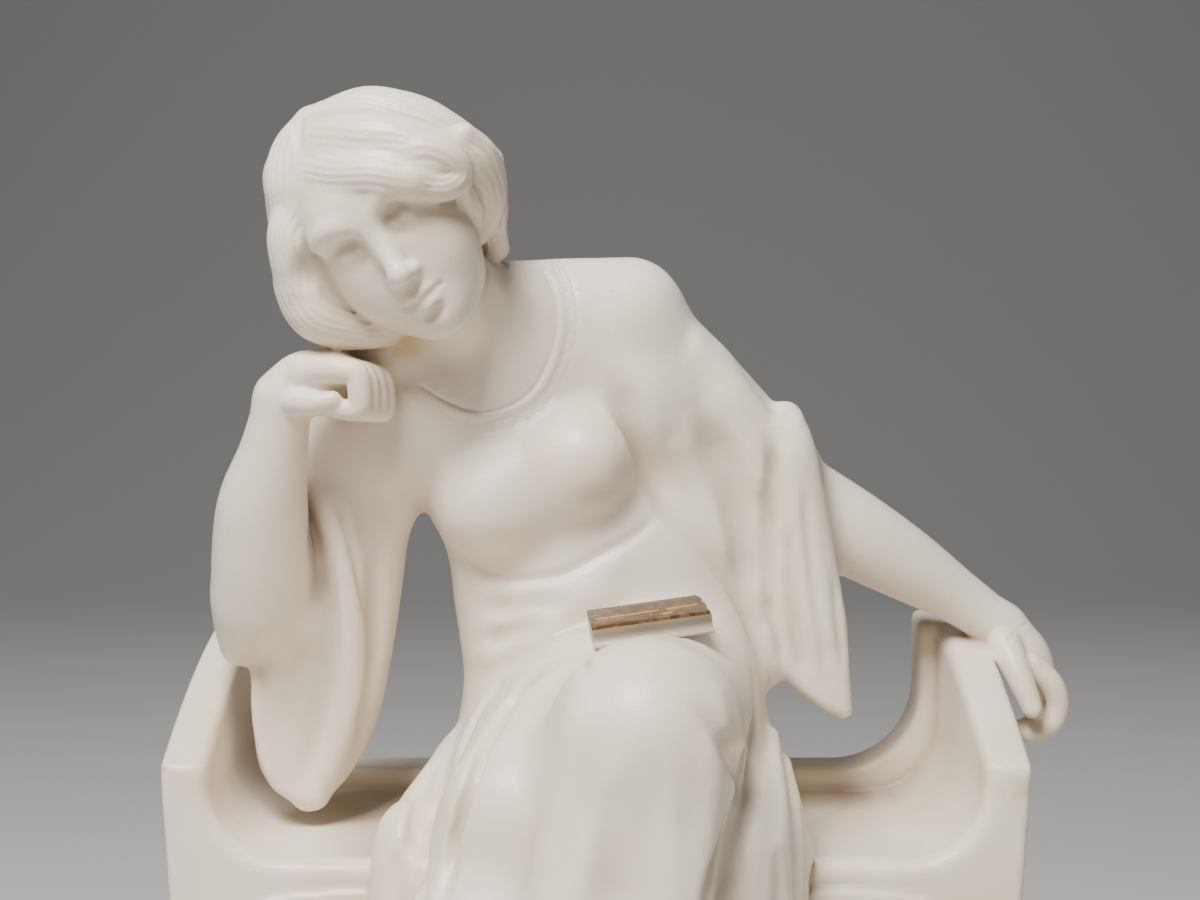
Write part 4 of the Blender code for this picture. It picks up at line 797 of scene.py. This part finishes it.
def part_touching(field):
    """Fills the few cells where the surface would touch itself along an edge or at a corner."""
    for _ in range(12):
        inside = field < 0
        found = 0
        for axis in range(3):
            turned = np.moveaxis(field, axis, 0)
            solid = np.moveaxis(inside, axis, 0)
            a, b = solid[:, :-1, :-1], solid[:, 1:, :-1]
            c, d = solid[:, :-1, 1:], solid[:, 1:, 1:]
            places = np.argwhere((a & d & ~b & ~c) | (~a & ~d & b & c))
            found += len(places)
            for i, j, k in places:
                turned[i, j:j + 2, k:k + 2] = np.minimum(turned[i, j:j + 2, k:k + 2], FILLED)
        inside = field < 0
        corners = [inside[i:inside.shape[0] - 1 + i, j:inside.shape[1] - 1 + j, k:inside.shape[2] - 1 + k]
                   for i in (0, 1) for j in (0, 1) for k in (0, 1)]
        total = sum(c.astype(np.int8) for c in corners)
        for n in range(4):
            near, far = corners[n], corners[7 - n]
            for i, j, k in np.argwhere(((total == 2) & near & far) | ((total == 6) & ~near & ~far)):
                found += 1
                cell = field[i:i + 2, j:j + 2, k:k + 2]
                cell[...] = np.minimum(cell, FILLED)
        if not found:
            return


def skin(clay):
    """Points and four-sided faces of the clay's surface."""
    f = clay.field
    part_touching(f)
    inside = f < 0
    nx, ny, nz = f.shape
    corners = [(n & 1, (n >> 1) & 1, (n >> 2) & 1) for n in range(8)]
    total = sum(inside[i:nx - 1 + i, j:ny - 1 + j, k:nz - 1 + k].astype(np.int8)
                for i, j, k in corners)
    cells = np.argwhere((total > 0) & (total < 8)).astype(np.int32)
    number = np.full(total.shape, -1, np.int32)
    number[tuple(cells.T)] = np.arange(len(cells))
    value = {c: f[tuple((cells + c).T)] for c in corners}
    place = np.zeros((len(cells), 3))
    count = np.zeros(len(cells))
    for axis in range(3):
        for corner in corners:
            if corner[axis]:
                continue
            other = tuple(1 if i == axis else c for i, c in enumerate(corner))
            a, b = value[corner], value[other]
            crossing = (a < 0) != (b < 0)
            place[crossing] += corner
            place[crossing, axis] += a[crossing] / (a[crossing] - b[crossing])
            count[crossing] += 1
    points = clay.low + clay.step * (cells + place / count[:, None])
    faces = []
    for axis in range(3):
        first = np.moveaxis(inside, axis, 0)
        edges = np.argwhere(first[:-1] != first[1:])
        out = first[tuple(edges.T)]
        grid = np.moveaxis(number, axis, 0)
        ring = [grid[edges[:, 0], edges[:, 1] + j, edges[:, 2] + k]
                for j, k in ((-1, -1), (0, -1), (0, 0), (-1, 0))]
        quads = np.stack(ring, 1)
        flip = ~out if axis != 1 else out
        quads[flip] = quads[flip][:, ::-1]
        faces.append(quads)
    return drop_crumbs(points, np.concatenate(faces))


def drop_crumbs(points, faces):
    """Keeps the surfaces that hold a fair volume, so that no crumb or sealed hollow is left."""
    label = np.arange(len(points))
    while True:
        lowest = label[faces].min(1)
        new = label.copy()
        for corner in range(4):
            np.minimum.at(new, faces[:, corner], lowest)
        new = new[new]
        if (new == label).all():
            break
        label = new
    a, b, c, d = (points[faces[:, corner]] for corner in range(4))
    volume = (np.cross(a, b) * c).sum(1) + (np.cross(a, c) * d).sum(1)
    total = np.bincount(label[faces[:, 0]], volume, len(points))
    kept = (total > total.max() * CRUMB)[label]
    number = np.cumsum(kept) - 1
    return points[kept], number[faces[kept[faces[:, 0]]]]


def to_metres(points):
    """From modules at the seat to metres at the middle of the base's underside."""
    return np.array(points) * MODULE + (0, SHIFT, SEAT_HEIGHT + PLINTH_THICKNESS)


def book_seat(clay, length, depth):
    """The flat seat cut into the lap for the book."""
    axes = turn(roll=BOOK_TURN[1], pitch=BOOK_TURN[0], yaw=BOOK_TURN[2])
    gap = CLEARANCE / MODULE
    half_x, half_y = length / 2 / MODULE + gap, depth / 2 / MODULE + gap

    def distance(x, y, z):
        x, y, z = x - BOOK_PLACE[0], y - BOOK_PLACE[1], z - BOOK_PLACE[2]
        u, v, w = (axes[0, i] * x + axes[1, i] * y + axes[2, i] * z for i in range(3))
        return np.maximum(np.maximum(np.abs(u) - half_x, np.abs(v) - half_y), -gap - w)

    low = np.array(BOOK_PLACE) - (half_x + 2, half_y + 2, 3)
    high = np.array(BOOK_PLACE) + (half_x + 2, half_y + 2, 14)
    clay.shape(low, high, distance, 0, carve=True)


def sculpt(stone, book):
    """Carves every form into fresh blocks, from the bench to the seat for the book."""
    grain = stone.coarse_grain / MODULE * 1
    fine = stone.fine_grain / MODULE * 1
    half = BENCH_HALF + EDGE
    front = BENCH_DEEP + EDGE - PLINTH_DEPTH / MODULE
    low = (-half - 3, min(front - 4, FOREMOST), -SEAT - PLINTH - 2)
    high = (max(half + 3, RIGHTMOST), BENCH_DEEP + EDGE + 3, TOPMOST)
    clay = Sculpture([Clay(low, high, grain), Clay(*HEAD_BLOCK, fine), Clay(*HAND_BLOCK, fine)])
    bench(clay)
    figure = clay.blank()
    for form in (torso, right_arm, left_arm, left_sleeve, lap_and_skirt, drapery, neckline, wrist_line):
        form(figure)
    upright = figure.blank()
    axes = turn(*HEAD_TILT)
    chin = HEAD_PLACE - axes @ np.array(HEAD_MIDDLE) * HEAD_SCALE
    head(Placed(upright, chin, axes, HEAD_SCALE))
    figure.unite(upright, 1.5)
    hair(figure)
    clay.unite(figure, 2)
    for block in clay.blocks:
        # Nothing of the figure goes lower than the inside of the base.
        height = block.low[2] + block.step * np.arange(block.size[2])
        block.field = np.maximum(block.field, (-SEAT - 2 - height).astype(np.float32))
    plinth(clay)
    book_seat(clay, book.length, book.depth)
    return clay


def running_mean(values, reach):
    """The mean over reach cells to both sides, along each axis in turn."""
    for axis in range(3):
        padded = np.concatenate([np.repeat(values.take([0], axis), reach + 1, axis), values,
                                 np.repeat(values.take([-1], axis), reach, axis)], axis)
        total = np.cumsum(padded, axis, dtype=np.float32)
        count = values.shape[axis]
        values = (total.take(range(2 * reach + 1, 2 * reach + 1 + count), axis)
                  - total.take(range(count), axis)) / (2 * reach + 1)
    return values


def crowding(clay, reach):
    """How much stone lies around each grid point: half on a flat face, more in a hollow."""
    cells = max(1, int(round(reach / clay.step)))
    solid = np.clip(0.5 - clay.field / clay.step, 0, 1)
    return running_mean(running_mean(solid, cells), cells)


def read_grid(clay, values, points):
    """The values of a grid at free points, blended from the eight nearest."""
    place = (points - clay.low) / clay.step
    place = np.clip(place, 0, np.array(clay.size) - 1.001)
    whole = place.astype(np.int32)
    part = place - whole
    found = 0
    for n in range(8):
        bit = np.array([(n >> i) & 1 for i in range(3)])
        weight = np.prod(np.where(bit, part, 1 - part), 1)
        found = found + weight * values[tuple((whole + bit).T)]
    return found


def inside_box(clay, low, high):
    """Distance in from the sides of a box, at each grid point."""
    sides = []
    for i in range(3):
        line = clay.low[i] + clay.step * np.arange(clay.size[i])
        shape = [1, 1, 1]
        shape[i] = -1
        sides.append(np.minimum(line - low[i], high[i] - line).reshape(shape))
    return np.minimum(np.minimum(sides[0], sides[1]), sides[2]).astype(np.float32)


def skin_mesh(name, clay):
    """The clay's surface as a closed mesh in metres."""
    points, faces = skin(clay)
    mesh = bpy.data.meshes.new(name)
    mesh.vertices.add(len(points))
    mesh.vertices.foreach_set("co", to_metres(points).astype(np.float32).ravel())
    mesh.loops.add(faces.size)
    mesh.loops.foreach_set("vertex_index", faces.astype(np.int32).ravel())
    mesh.polygons.add(len(faces))
    mesh.polygons.foreach_set("loop_start", np.arange(0, faces.size, 4, dtype=np.int32))
    mesh.update(calc_edges=True)
    mesh.validate()
    made = bpy.data.objects.new(name, mesh)
    bpy.context.scene.collection.objects.link(made)
    return made


def join_blocks(clay, limit):
    """Skins every block, joins them into one closed mesh and thins it to the limit of triangles."""
    whole = clay.blocks[0]
    rim = OVERLAP * whole.step
    for block in clay.blocks[1:]:
        low, high = block.extent(1.5)
        whole.field = np.maximum(whole.field, inside_box(whole, low + rim, high - rim))
        block.field = np.maximum(block.field, -inside_box(block, low, high))
    stone = skin_mesh("seated_reader_stone", whole)
    pick(stone)
    for number, block in enumerate(clay.blocks[1:]):
        piece = skin_mesh(f"detail_{number}", block)
        union = stone.modifiers.new("join", "BOOLEAN")
        union.operation = "UNION"
        union.solver = "MANIFOLD"
        union.object = piece
        bpy.ops.object.modifier_apply(modifier=union.name)
        bpy.data.objects.remove(piece)
    triangles = sum(len(face.vertices) - 2 for face in stone.data.polygons)
    if triangles > limit:
        thin = stone.modifiers.new("thin", "DECIMATE")
        thin.ratio = limit / triangles
        bpy.ops.object.modifier_apply(modifier=thin.name)
    bpy.ops.object.shade_smooth_by_angle(angle=STONE_SMOOTH)
    return stone


def pick(*objects):
    """Selects these objects alone and makes the first one active."""
    bpy.ops.object.select_all(action="DESELECT")
    for made in objects:
        made.select_set(True)
    bpy.context.view_layer.objects.active = objects[0]


def paint(made, name, values):
    """Keeps one number per vertex on the mesh."""
    attribute = made.data.attributes.new(name, "FLOAT", "POINT")
    attribute.data.foreach_set("value", np.asarray(values, np.float32))


def vertex_places(made):
    """The mesh's vertices, back in modules at the seat."""
    count = len(made.data.vertices)
    flat = np.empty(3 * count, np.float32)
    made.data.vertices.foreach_get("co", flat)
    return (flat.reshape(count, 3) - to_metres([(0, 0, 0)])) / MODULE


class Stuff:
    """A material while its nodes are laid out."""

    def __init__(self, name, values):
        self.material = bpy.data.materials.new(name)
        self.material.use_nodes = True
        self.nodes = self.material.node_tree.nodes
        self.shader = self.nodes["Principled BSDF"]
        self.set(self.shader, values)

    def set(self, node, values):
        for key, value in values.items():
            node.inputs[key].default_value = value

    def join(self, source, target):
        self.material.node_tree.links.new(source, target)

    def place(self):
        return self.nodes.new("ShaderNodeTexCoord").outputs["Object"]

    def painted(self, name):
        """A number kept on the mesh by paint()."""
        found = self.nodes.new("ShaderNodeAttribute")
        found.attribute_name = name
        return found.outputs["Fac"]

    def mix(self, share, first, second):
        """A colour mix; each end is a socket or a plain colour, and share is a socket."""
        mix = self.nodes.new("ShaderNodeMix")
        mix.data_type = "RGBA"
        self.join(share, mix.inputs["Factor"])
        for socket, end in ((mix.inputs[6], first), (mix.inputs[7], second)):
            if isinstance(end, bpy.types.NodeSocket):
                self.join(end, socket)
            else:
                socket.default_value = (*end, 1)
        return mix.outputs[2]

    def scaled(self, source, low, high, most=1.0):
        """A number moved from the range low to high to the range 0 to most, and held inside it."""
        reach = self.nodes.new("ShaderNodeMapRange")
        reach.interpolation_type = "SMOOTHSTEP"
        self.join(source, reach.inputs["Value"])
        self.set(reach, {"From Min": low, "From Max": high, "To Min": 0, "To Max": most})
        return reach.outputs["Result"]

    def noise(self, place, scale, detail, roughness=0.5):
        made = self.nodes.new("ShaderNodeTexNoise")
        self.set(made, {"Scale": scale, "Detail": detail, "Roughness": roughness})
        self.join(place, made.inputs["Vector"])
        return made.outputs["Fac"]

    def bump(self, height, distance, strength):
        """Roughens the face a little, by a height."""
        made = self.nodes.new("ShaderNodeBump")
        self.set(made, {"Distance": distance, "Strength": strength})
        self.join(height, made.inputs["Height"])
        self.join(made.outputs["Normal"], self.shader.inputs["Normal"])


def alabaster(stone):
    """Warm white stone: browner in the hollows and creases with painted shade and some dust, with faint
    clouds and a few old stains.
    """
    stuff = Stuff("alabaster", {"Roughness": stone.roughness, "Subsurface Weight": stone.glow,
                                "Subsurface Radius": (1.0, 0.72, 0.5),
                                "Subsurface Scale": stone.glow_depth})
    place = stuff.place()
    clouds = stuff.scaled(stuff.noise(place, 26, 3), 0.4, 0.68)
    colour = stuff.mix(clouds, stone.light_colour, stone.cloud_colour)
    # Each number painted on the stone: where its tint starts and is full, and the tint's greatest share.
    # The hollow and crease tints are painted shade with some dust; the stain tint adds painted shade under
    # the bust.
    for name, low, high, most, tint in (("hollow", 0.46, 0.82, 0.6, stone.shade_and_dust_colour),
                                        ("crease", 0.53, 0.85, 0.45, stone.shade_and_dust_colour),
                                        ("stain", 0, 1, 0.8, stone.stain_and_shade_colour)):
        colour = stuff.mix(stuff.scaled(stuff.painted(name), low, high, most), colour, tint)
    stuff.join(colour, stuff.shader.inputs["Base Color"])
    stuff.bump(stuff.noise(place, 700, 3), 0.0004, 0.25)
    return stuff.material


def plain(name, colour, roughness, metallic=0.0):
    """One even colour."""
    values = {"Base Color": (*colour, 1), "Roughness": roughness, "Metallic": metallic}
    return Stuff(name, values).material


def worn_gilding(book):
    """Brown gilding rubbed back in patches."""
    stuff = Stuff("worn gilding", {"Metallic": 0.2, "Roughness": 0.42})
    place = stuff.place()
    patches = stuff.scaled(stuff.noise(place, 450, 4, 0.6), 0.45, 0.62)
    colour = stuff.mix(patches, book.cover_colour, book.worn_colour)
    stuff.join(colour, stuff.shader.inputs["Base Color"])
    stuff.bump(stuff.noise(place, 1500, 2), 0.0002, 0.3)
    return stuff.material


def start_box(name, centre, size):
    """A box of a size, around its centre, alone selected."""
    bpy.ops.object.select_all(action="DESELECT")
    bpy.ops.mesh.primitive_cube_add(size=1, location=centre, scale=size)
    made = bpy.context.object
    made.name = name
    bpy.ops.object.transform_apply(location=True, rotation=True, scale=True)
    return made


def choose(made, test):
    """Selects in edit mode the vertices whose place passes the test."""
    mesh = bmesh.from_edit_mesh(made.data)
    mesh.select_mode = {"VERT"}
    for vertex in mesh.verts:
        vertex.select = test(vertex.co)
    mesh.select_flush_mode()
    bmesh.update_edit_mesh(made.data)


def cut_across(heights, axis):
    """Cuts the mesh open for editing along planes across an axis."""
    normal = [0, 0, 0]
    normal[axis] = 1
    for height in heights:
        spot = [0, 0, 0]
        spot[axis] = height
        bpy.ops.mesh.select_all(action="SELECT")
        bpy.ops.mesh.bisect(plane_co=spot, plane_no=normal)


def soften(made, width):
    """Rounds the sharp edges and shades the rest smooth."""
    edge = made.modifiers.new("soft edges", "BEVEL")
    edge.width = width
    edge.segments = 2
    edge.limit_method = "ANGLE"
    edge.angle_limit = BOOK_SHARP
    bpy.ops.object.modifier_apply(modifier=edge.name)
    bpy.ops.object.shade_smooth_by_angle(angle=BOOK_SMOOTH)


def lay_on_lap(made):
    """Moves a piece of the book from its own upright place to the seat in the lap."""
    pick(made)
    made.location = to_metres([BOOK_PLACE])[0]
    made.rotation_euler = [math.radians(t) for t in BOOK_TURN]
    bpy.ops.object.transform_apply(location=True, rotation=True, scale=True)


def book_block(book):
    """The pale block with a hollow fore edge on a thin lower board."""
    block = book.block_thickness + book.lip_thickness
    made = start_box("book_block", (0, 0, block / 2), (book.length, book.depth, block))
    front = -book.depth / 2
    bpy.ops.object.mode_set(mode="EDIT")
    steps = 7
    levels = [book.lip_thickness + book.block_thickness * n / steps for n in range(steps)]
    cut_across([book.lip_thickness * 0.85] + levels, 2)
    for n, level in enumerate(levels + [block]):
        hollow = book.cover_overhang + book.fore_edge_hollow * math.sin(math.pi * n / steps)
        choose(made, lambda co: abs(co.z - level) < SAME_PLACE and abs(co.y - front) < SAME_PLACE)
        bpy.ops.transform.translate(value=(0, hollow, 0))
    bpy.ops.object.mode_set(mode="OBJECT")
    soften(made, 0.00012)
    return made


def book_cover(book):
    """The gilded upper board, chipped at its right end."""
    low = book.block_thickness + book.lip_thickness
    middle = (0, 0, low + book.cover_thickness / 2)
    made = start_box("book_cover", middle, (book.length, book.depth, book.cover_thickness))
    bpy.ops.object.mode_set(mode="EDIT")
    right = book.length / 2
    cut_across([share * book.depth for share, chip in COVER_CHIPS[1:-1]], 1)
    for share, chip in COVER_CHIPS:
        line = share * book.depth
        choose(made, lambda co: abs(co.x - right) < SAME_PLACE and abs(co.y - line) < SAME_PLACE)
        bpy.ops.transform.translate(value=(-chip, 0, 0))
    bpy.ops.object.mode_set(mode="OBJECT")
    soften(made, 0.00015)
    return made


def gilt_line(book, start, length, offset):
    """A thin raised line of gilding along the cover."""
    top = book.block_thickness + book.lip_thickness + book.cover_thickness
    middle = (start + length / 2, offset, top)
    made = start_box("gilt_line", middle, (length, book.line_width, book.line_width * 0.6))
    soften(made, book.line_width * 0.25)
    return made


def swept_floor(stage):
    """A floor whose far edge is drawn up into a wall, with a round bend between."""
    half = stage.floor_size / 2
    bpy.ops.mesh.primitive_plane_add(size=stage.floor_size, location=(0, 0, 0))
    floor = bpy.context.object
    floor.name = "floor"
    bpy.ops.object.mode_set(mode="EDIT")
    choose(floor, lambda point: point.y > half - 0.01)
    bpy.ops.mesh.extrude_region_move(TRANSFORM_OT_translate={"value": (0, 0, half)})
    choose(floor, lambda point: point.y > half - 0.01 and point.z < 0.01)
    bpy.ops.mesh.bevel(offset=stage.bend, segments=16, affect="EDGES")
    bpy.ops.object.mode_set(mode="OBJECT")
    bpy.ops.object.shade_smooth()
    return floor


def number_field(name, description, default, **how):
    return FloatProperty(name=name, description=description, default=default, **how)


def length_field(name, description, default):
    return number_field(name, description, default, unit="LENGTH")


def vector_field(name, description, default, subtype):
    return FloatVectorProperty(name=name, description=description, default=default, subtype=subtype)


def colour_field(name, description, default):
    return vector_field(name, description, default, "COLOR")


class ReaderStone(bpy.types.PropertyGroup):
    """Sizes and colours of the carved stone."""
    coarse_grain: length_field("Grain", "Fineness of the carving of the whole block", 0.001)
    fine_grain: length_field("Fine grain", "Fineness of the carving of the head and hands", 0.00045)
    most_facets: IntProperty(
        name="Most facets", description="Upper limit of triangles in one piece of stone", default=190000)
    light_colour: colour_field("Stone", "Colour of the open faces", (0.88, 0.78, 0.65))
    cloud_colour: colour_field("Clouds", "Colour of the faint clouds in the stone", (0.84, 0.72, 0.56))
    # The tint of hollows and creases is painted shade with some dust.
    shade_and_dust_colour: colour_field("Hollows", "Colour of the dust in folds and creases", (0.40, 0.29, 0.18))
    # Old stains, and the painted shade under the bust.
    stain_and_shade_colour: colour_field("Stains", "Colour of old stains", (0.62, 0.43, 0.20))
    roughness: number_field("Roughness", "Dullness of the polished face", 0.36, min=0, max=1)
    glow: number_field("Glow", "Share of light that passes into the stone", 0.25, min=0, max=1)
    glow_depth: length_field("Glow depth", "How far light passes into the stone", 0.002)


class ReaderBook(bpy.types.PropertyGroup):
    """Sizes and colours of the book on the lap."""
    length: length_field("Length", "Along the spine", 0.0305)
    depth: length_field("Depth", "From spine to fore edge", 0.020)
    block_thickness: length_field("Block thickness", "Thickness of the leaves", 0.0042)
    cover_thickness: length_field("Cover thickness", "Thickness of the upper board", 0.0009)
    lip_thickness: length_field("Lip thickness", "Thickness of the lower board", 0.0007)
    cover_overhang: length_field("Overhang", "How far the boards stand past the leaves", 0.0006)
    fore_edge_hollow: length_field("Fore edge hollow", "How deep the fore edge is hollowed", 0.0009)
    line_width: length_field("Line width", "Width of the gilt line on the cover", 0.0008)
    cover_colour: colour_field("Cover", "Colour of the brown gilding", (0.09, 0.045, 0.015))
    worn_colour: colour_field("Worn cover", "Colour where the gilding is rubbed", (0.20, 0.115, 0.045))
    gilt_colour: colour_field("Gilt line", "Colour of the bright line", (0.95, 0.66, 0.25))
    leaf_colour: colour_field("Leaves", "Colour of the block", (0.46, 0.39, 0.30))


class ReaderStage(bpy.types.PropertyGroup):
    """The floor, the lights and the camera."""
    floor_colour: colour_field("Floor", "Colour of the floor", (0.6, 0.59, 0.575))
    floor_size: length_field("Floor size", "Side of the floor", 5.0)
    bend: length_field("Bend", "Size of the bend between floor and wall", 1.2)
    key_power: number_field("Key light", "Power of the main light in watts", 24.0)
    fill_power: number_field("Fill light", "Power of the fill light in watts", 0.5)
    sky: number_field("Sky", "Strength of the even light all round", 0.07)
    lens: number_field("Lens", "Focal length in millimetres", 60.0)
    camera_place: vector_field("Camera", "Place of the camera", (0.001, -0.510, 0.259), "TRANSLATION")
    camera_dip: number_field(
        "Camera dip", "How far the camera looks down", math.radians(3.7), subtype="ANGLE")


class READER_OT_stone(bpy.types.Operator):
    """Carve the figure, the bench and the base out of one block"""
    bl_idname = "reader.carve_stone"
    bl_label = "Carve the stone"

    def execute(self, context):
        stone = context.scene.reader_stone
        clay = sculpt(stone, context.scene.reader_book)
        whole = clay.blocks[0]
        # Painted shade: how much stone lies around each vertex browns its hollows and creases.
        wide = crowding(whole, HOLLOW_SHADE_REACH)
        creases = [crowding(block, CREASE_SHADE_REACH) for block in clay.blocks]
        made = join_blocks(clay, stone.most_facets)
        places = vertex_places(made)
        crease = read_grid(whole, creases[0], places)
        for block, finer in zip(clay.blocks[1:], creases[1:]):
            low, high = block.extent(0)
            inside = ((places > low + READ_MARGIN) & (places < high - READ_MARGIN)).all(1)
            crease[inside] = read_grid(block, finer, places[inside])
        paint(made, "hollow", read_grid(whole, wide, places))
        paint(made, "crease", crease)
        paint(made, "stain", stains(places))
        made.data.materials.clear()
        made.data.materials.append(alabaster(stone))
        made.data.polygons.foreach_set("material_index", np.zeros(len(made.data.polygons), np.int32))
        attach(made, "root")
        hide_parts("seated_reader")
        return {"FINISHED"}


class READER_OT_book(bpy.types.Operator):
    """Make the closed book and lay it on the lap"""
    bl_idname = "reader.make_book"
    bl_label = "Make the book"

    def execute(self, context):
        book = context.scene.reader_book
        stone = context.scene.reader_stone
        line = plain("gilt line", book.gilt_colour, 0.35, 0.8)
        left = -book.length / 2
        pieces = [
            (book_block(book), plain("book leaves", book.leaf_colour, stone.roughness)),
            (book_cover(book), worn_gilding(book)),
        ]
        for start, length, share in GILT_LINES:
            pieces.append((gilt_line(book, left + start, length, share * book.depth), line))
        for made, stuff in pieces:
            lay_on_lap(made)
            made.data.materials.append(stuff)
            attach(made, "root")
            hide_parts("book")
        return {"FINISHED"}


class READER_OT_stage(bpy.types.Operator):
    """Set the floor, the lights and the camera"""
    bl_idname = "reader.set_stage"
    bl_label = "Set the stage"

    def execute(self, context):
        stage = context.scene.reader_stage
        bpy.ops.object.select_all(action="DESELECT")
        floor = swept_floor(stage)
        floor.data.materials.append(plain("floor", stage.floor_colour, 0.8))
        lights = [("key", (-0.25, -0.52, 1.05), 0.5, stage.key_power),
                  ("fill", (0.6, -0.9, 0.3), 0.8, stage.fill_power),
                  ("rim", (0.5, 0.8, 0.8), 0.6, stage.fill_power)]
        for name, place, size, power in lights:
            bpy.ops.object.light_add(type="AREA", location=place)
            light = context.object
            light.name = name
            light.data.size = size
            light.data.energy = power
            light.rotation_euler = (Vector(AIM) - Vector(place)).to_track_quat("-Z", "Y").to_euler()
        world = bpy.data.worlds.new("even light")
        world.use_nodes = True
        sky = world.node_tree.nodes["Background"].inputs
        sky["Color"].default_value = (*SKY_COLOUR, 1)
        sky["Strength"].default_value = stage.sky
        context.scene.world = world
        level = math.pi / 2 - stage.camera_dip
        bpy.ops.object.camera_add(location=stage.camera_place, rotation=(level, 0, 0))
        camera = context.object
        camera.data.lens = stage.lens
        camera.data.sensor_width = 36
        context.scene.camera = camera
        return {"FINISHED"}


class READER_PT_panel(bpy.types.Panel):
    """The steps of the statue, in order"""
    bl_idname = "READER_PT_panel"
    bl_label = "Reading Girl"
    bl_space_type = "VIEW_3D"
    bl_region_type = "UI"
    bl_category = "Reading Girl"

    def draw(self, context):
        scene = context.scene
        groups = ((scene.reader_stone, READER_OT_stone), (scene.reader_book, READER_OT_book),
                  (scene.reader_stage, READER_OT_stage))
        for group, step in groups:
            box = self.layout.box()
            for key in group.__annotations__:
                box.prop(group, key)
            box.operator(step.bl_idname)


CLASSES = (ReaderStone, ReaderBook, ReaderStage, READER_OT_stone, READER_OT_book, READER_OT_stage,
           READER_PT_panel)


def register():
    for item in CLASSES:
        bpy.utils.register_class(item)
    bpy.types.Scene.reader_stone = PointerProperty(type=ReaderStone)
    bpy.types.Scene.reader_book = PointerProperty(type=ReaderBook)
    bpy.types.Scene.reader_stage = PointerProperty(type=ReaderStage)


def unregister():
    for name in ("reader_stone", "reader_book", "reader_stage"):
        delattr(bpy.types.Scene, name)
    for item in reversed(CLASSES):
        bpy.utils.unregister_class(item)


def main():
    register()
    bpy.ops.reader.carve_stone()
    bpy.ops.reader.make_book()
    bpy.ops.reader.set_stage()


if __name__ == "__main__":
    main()
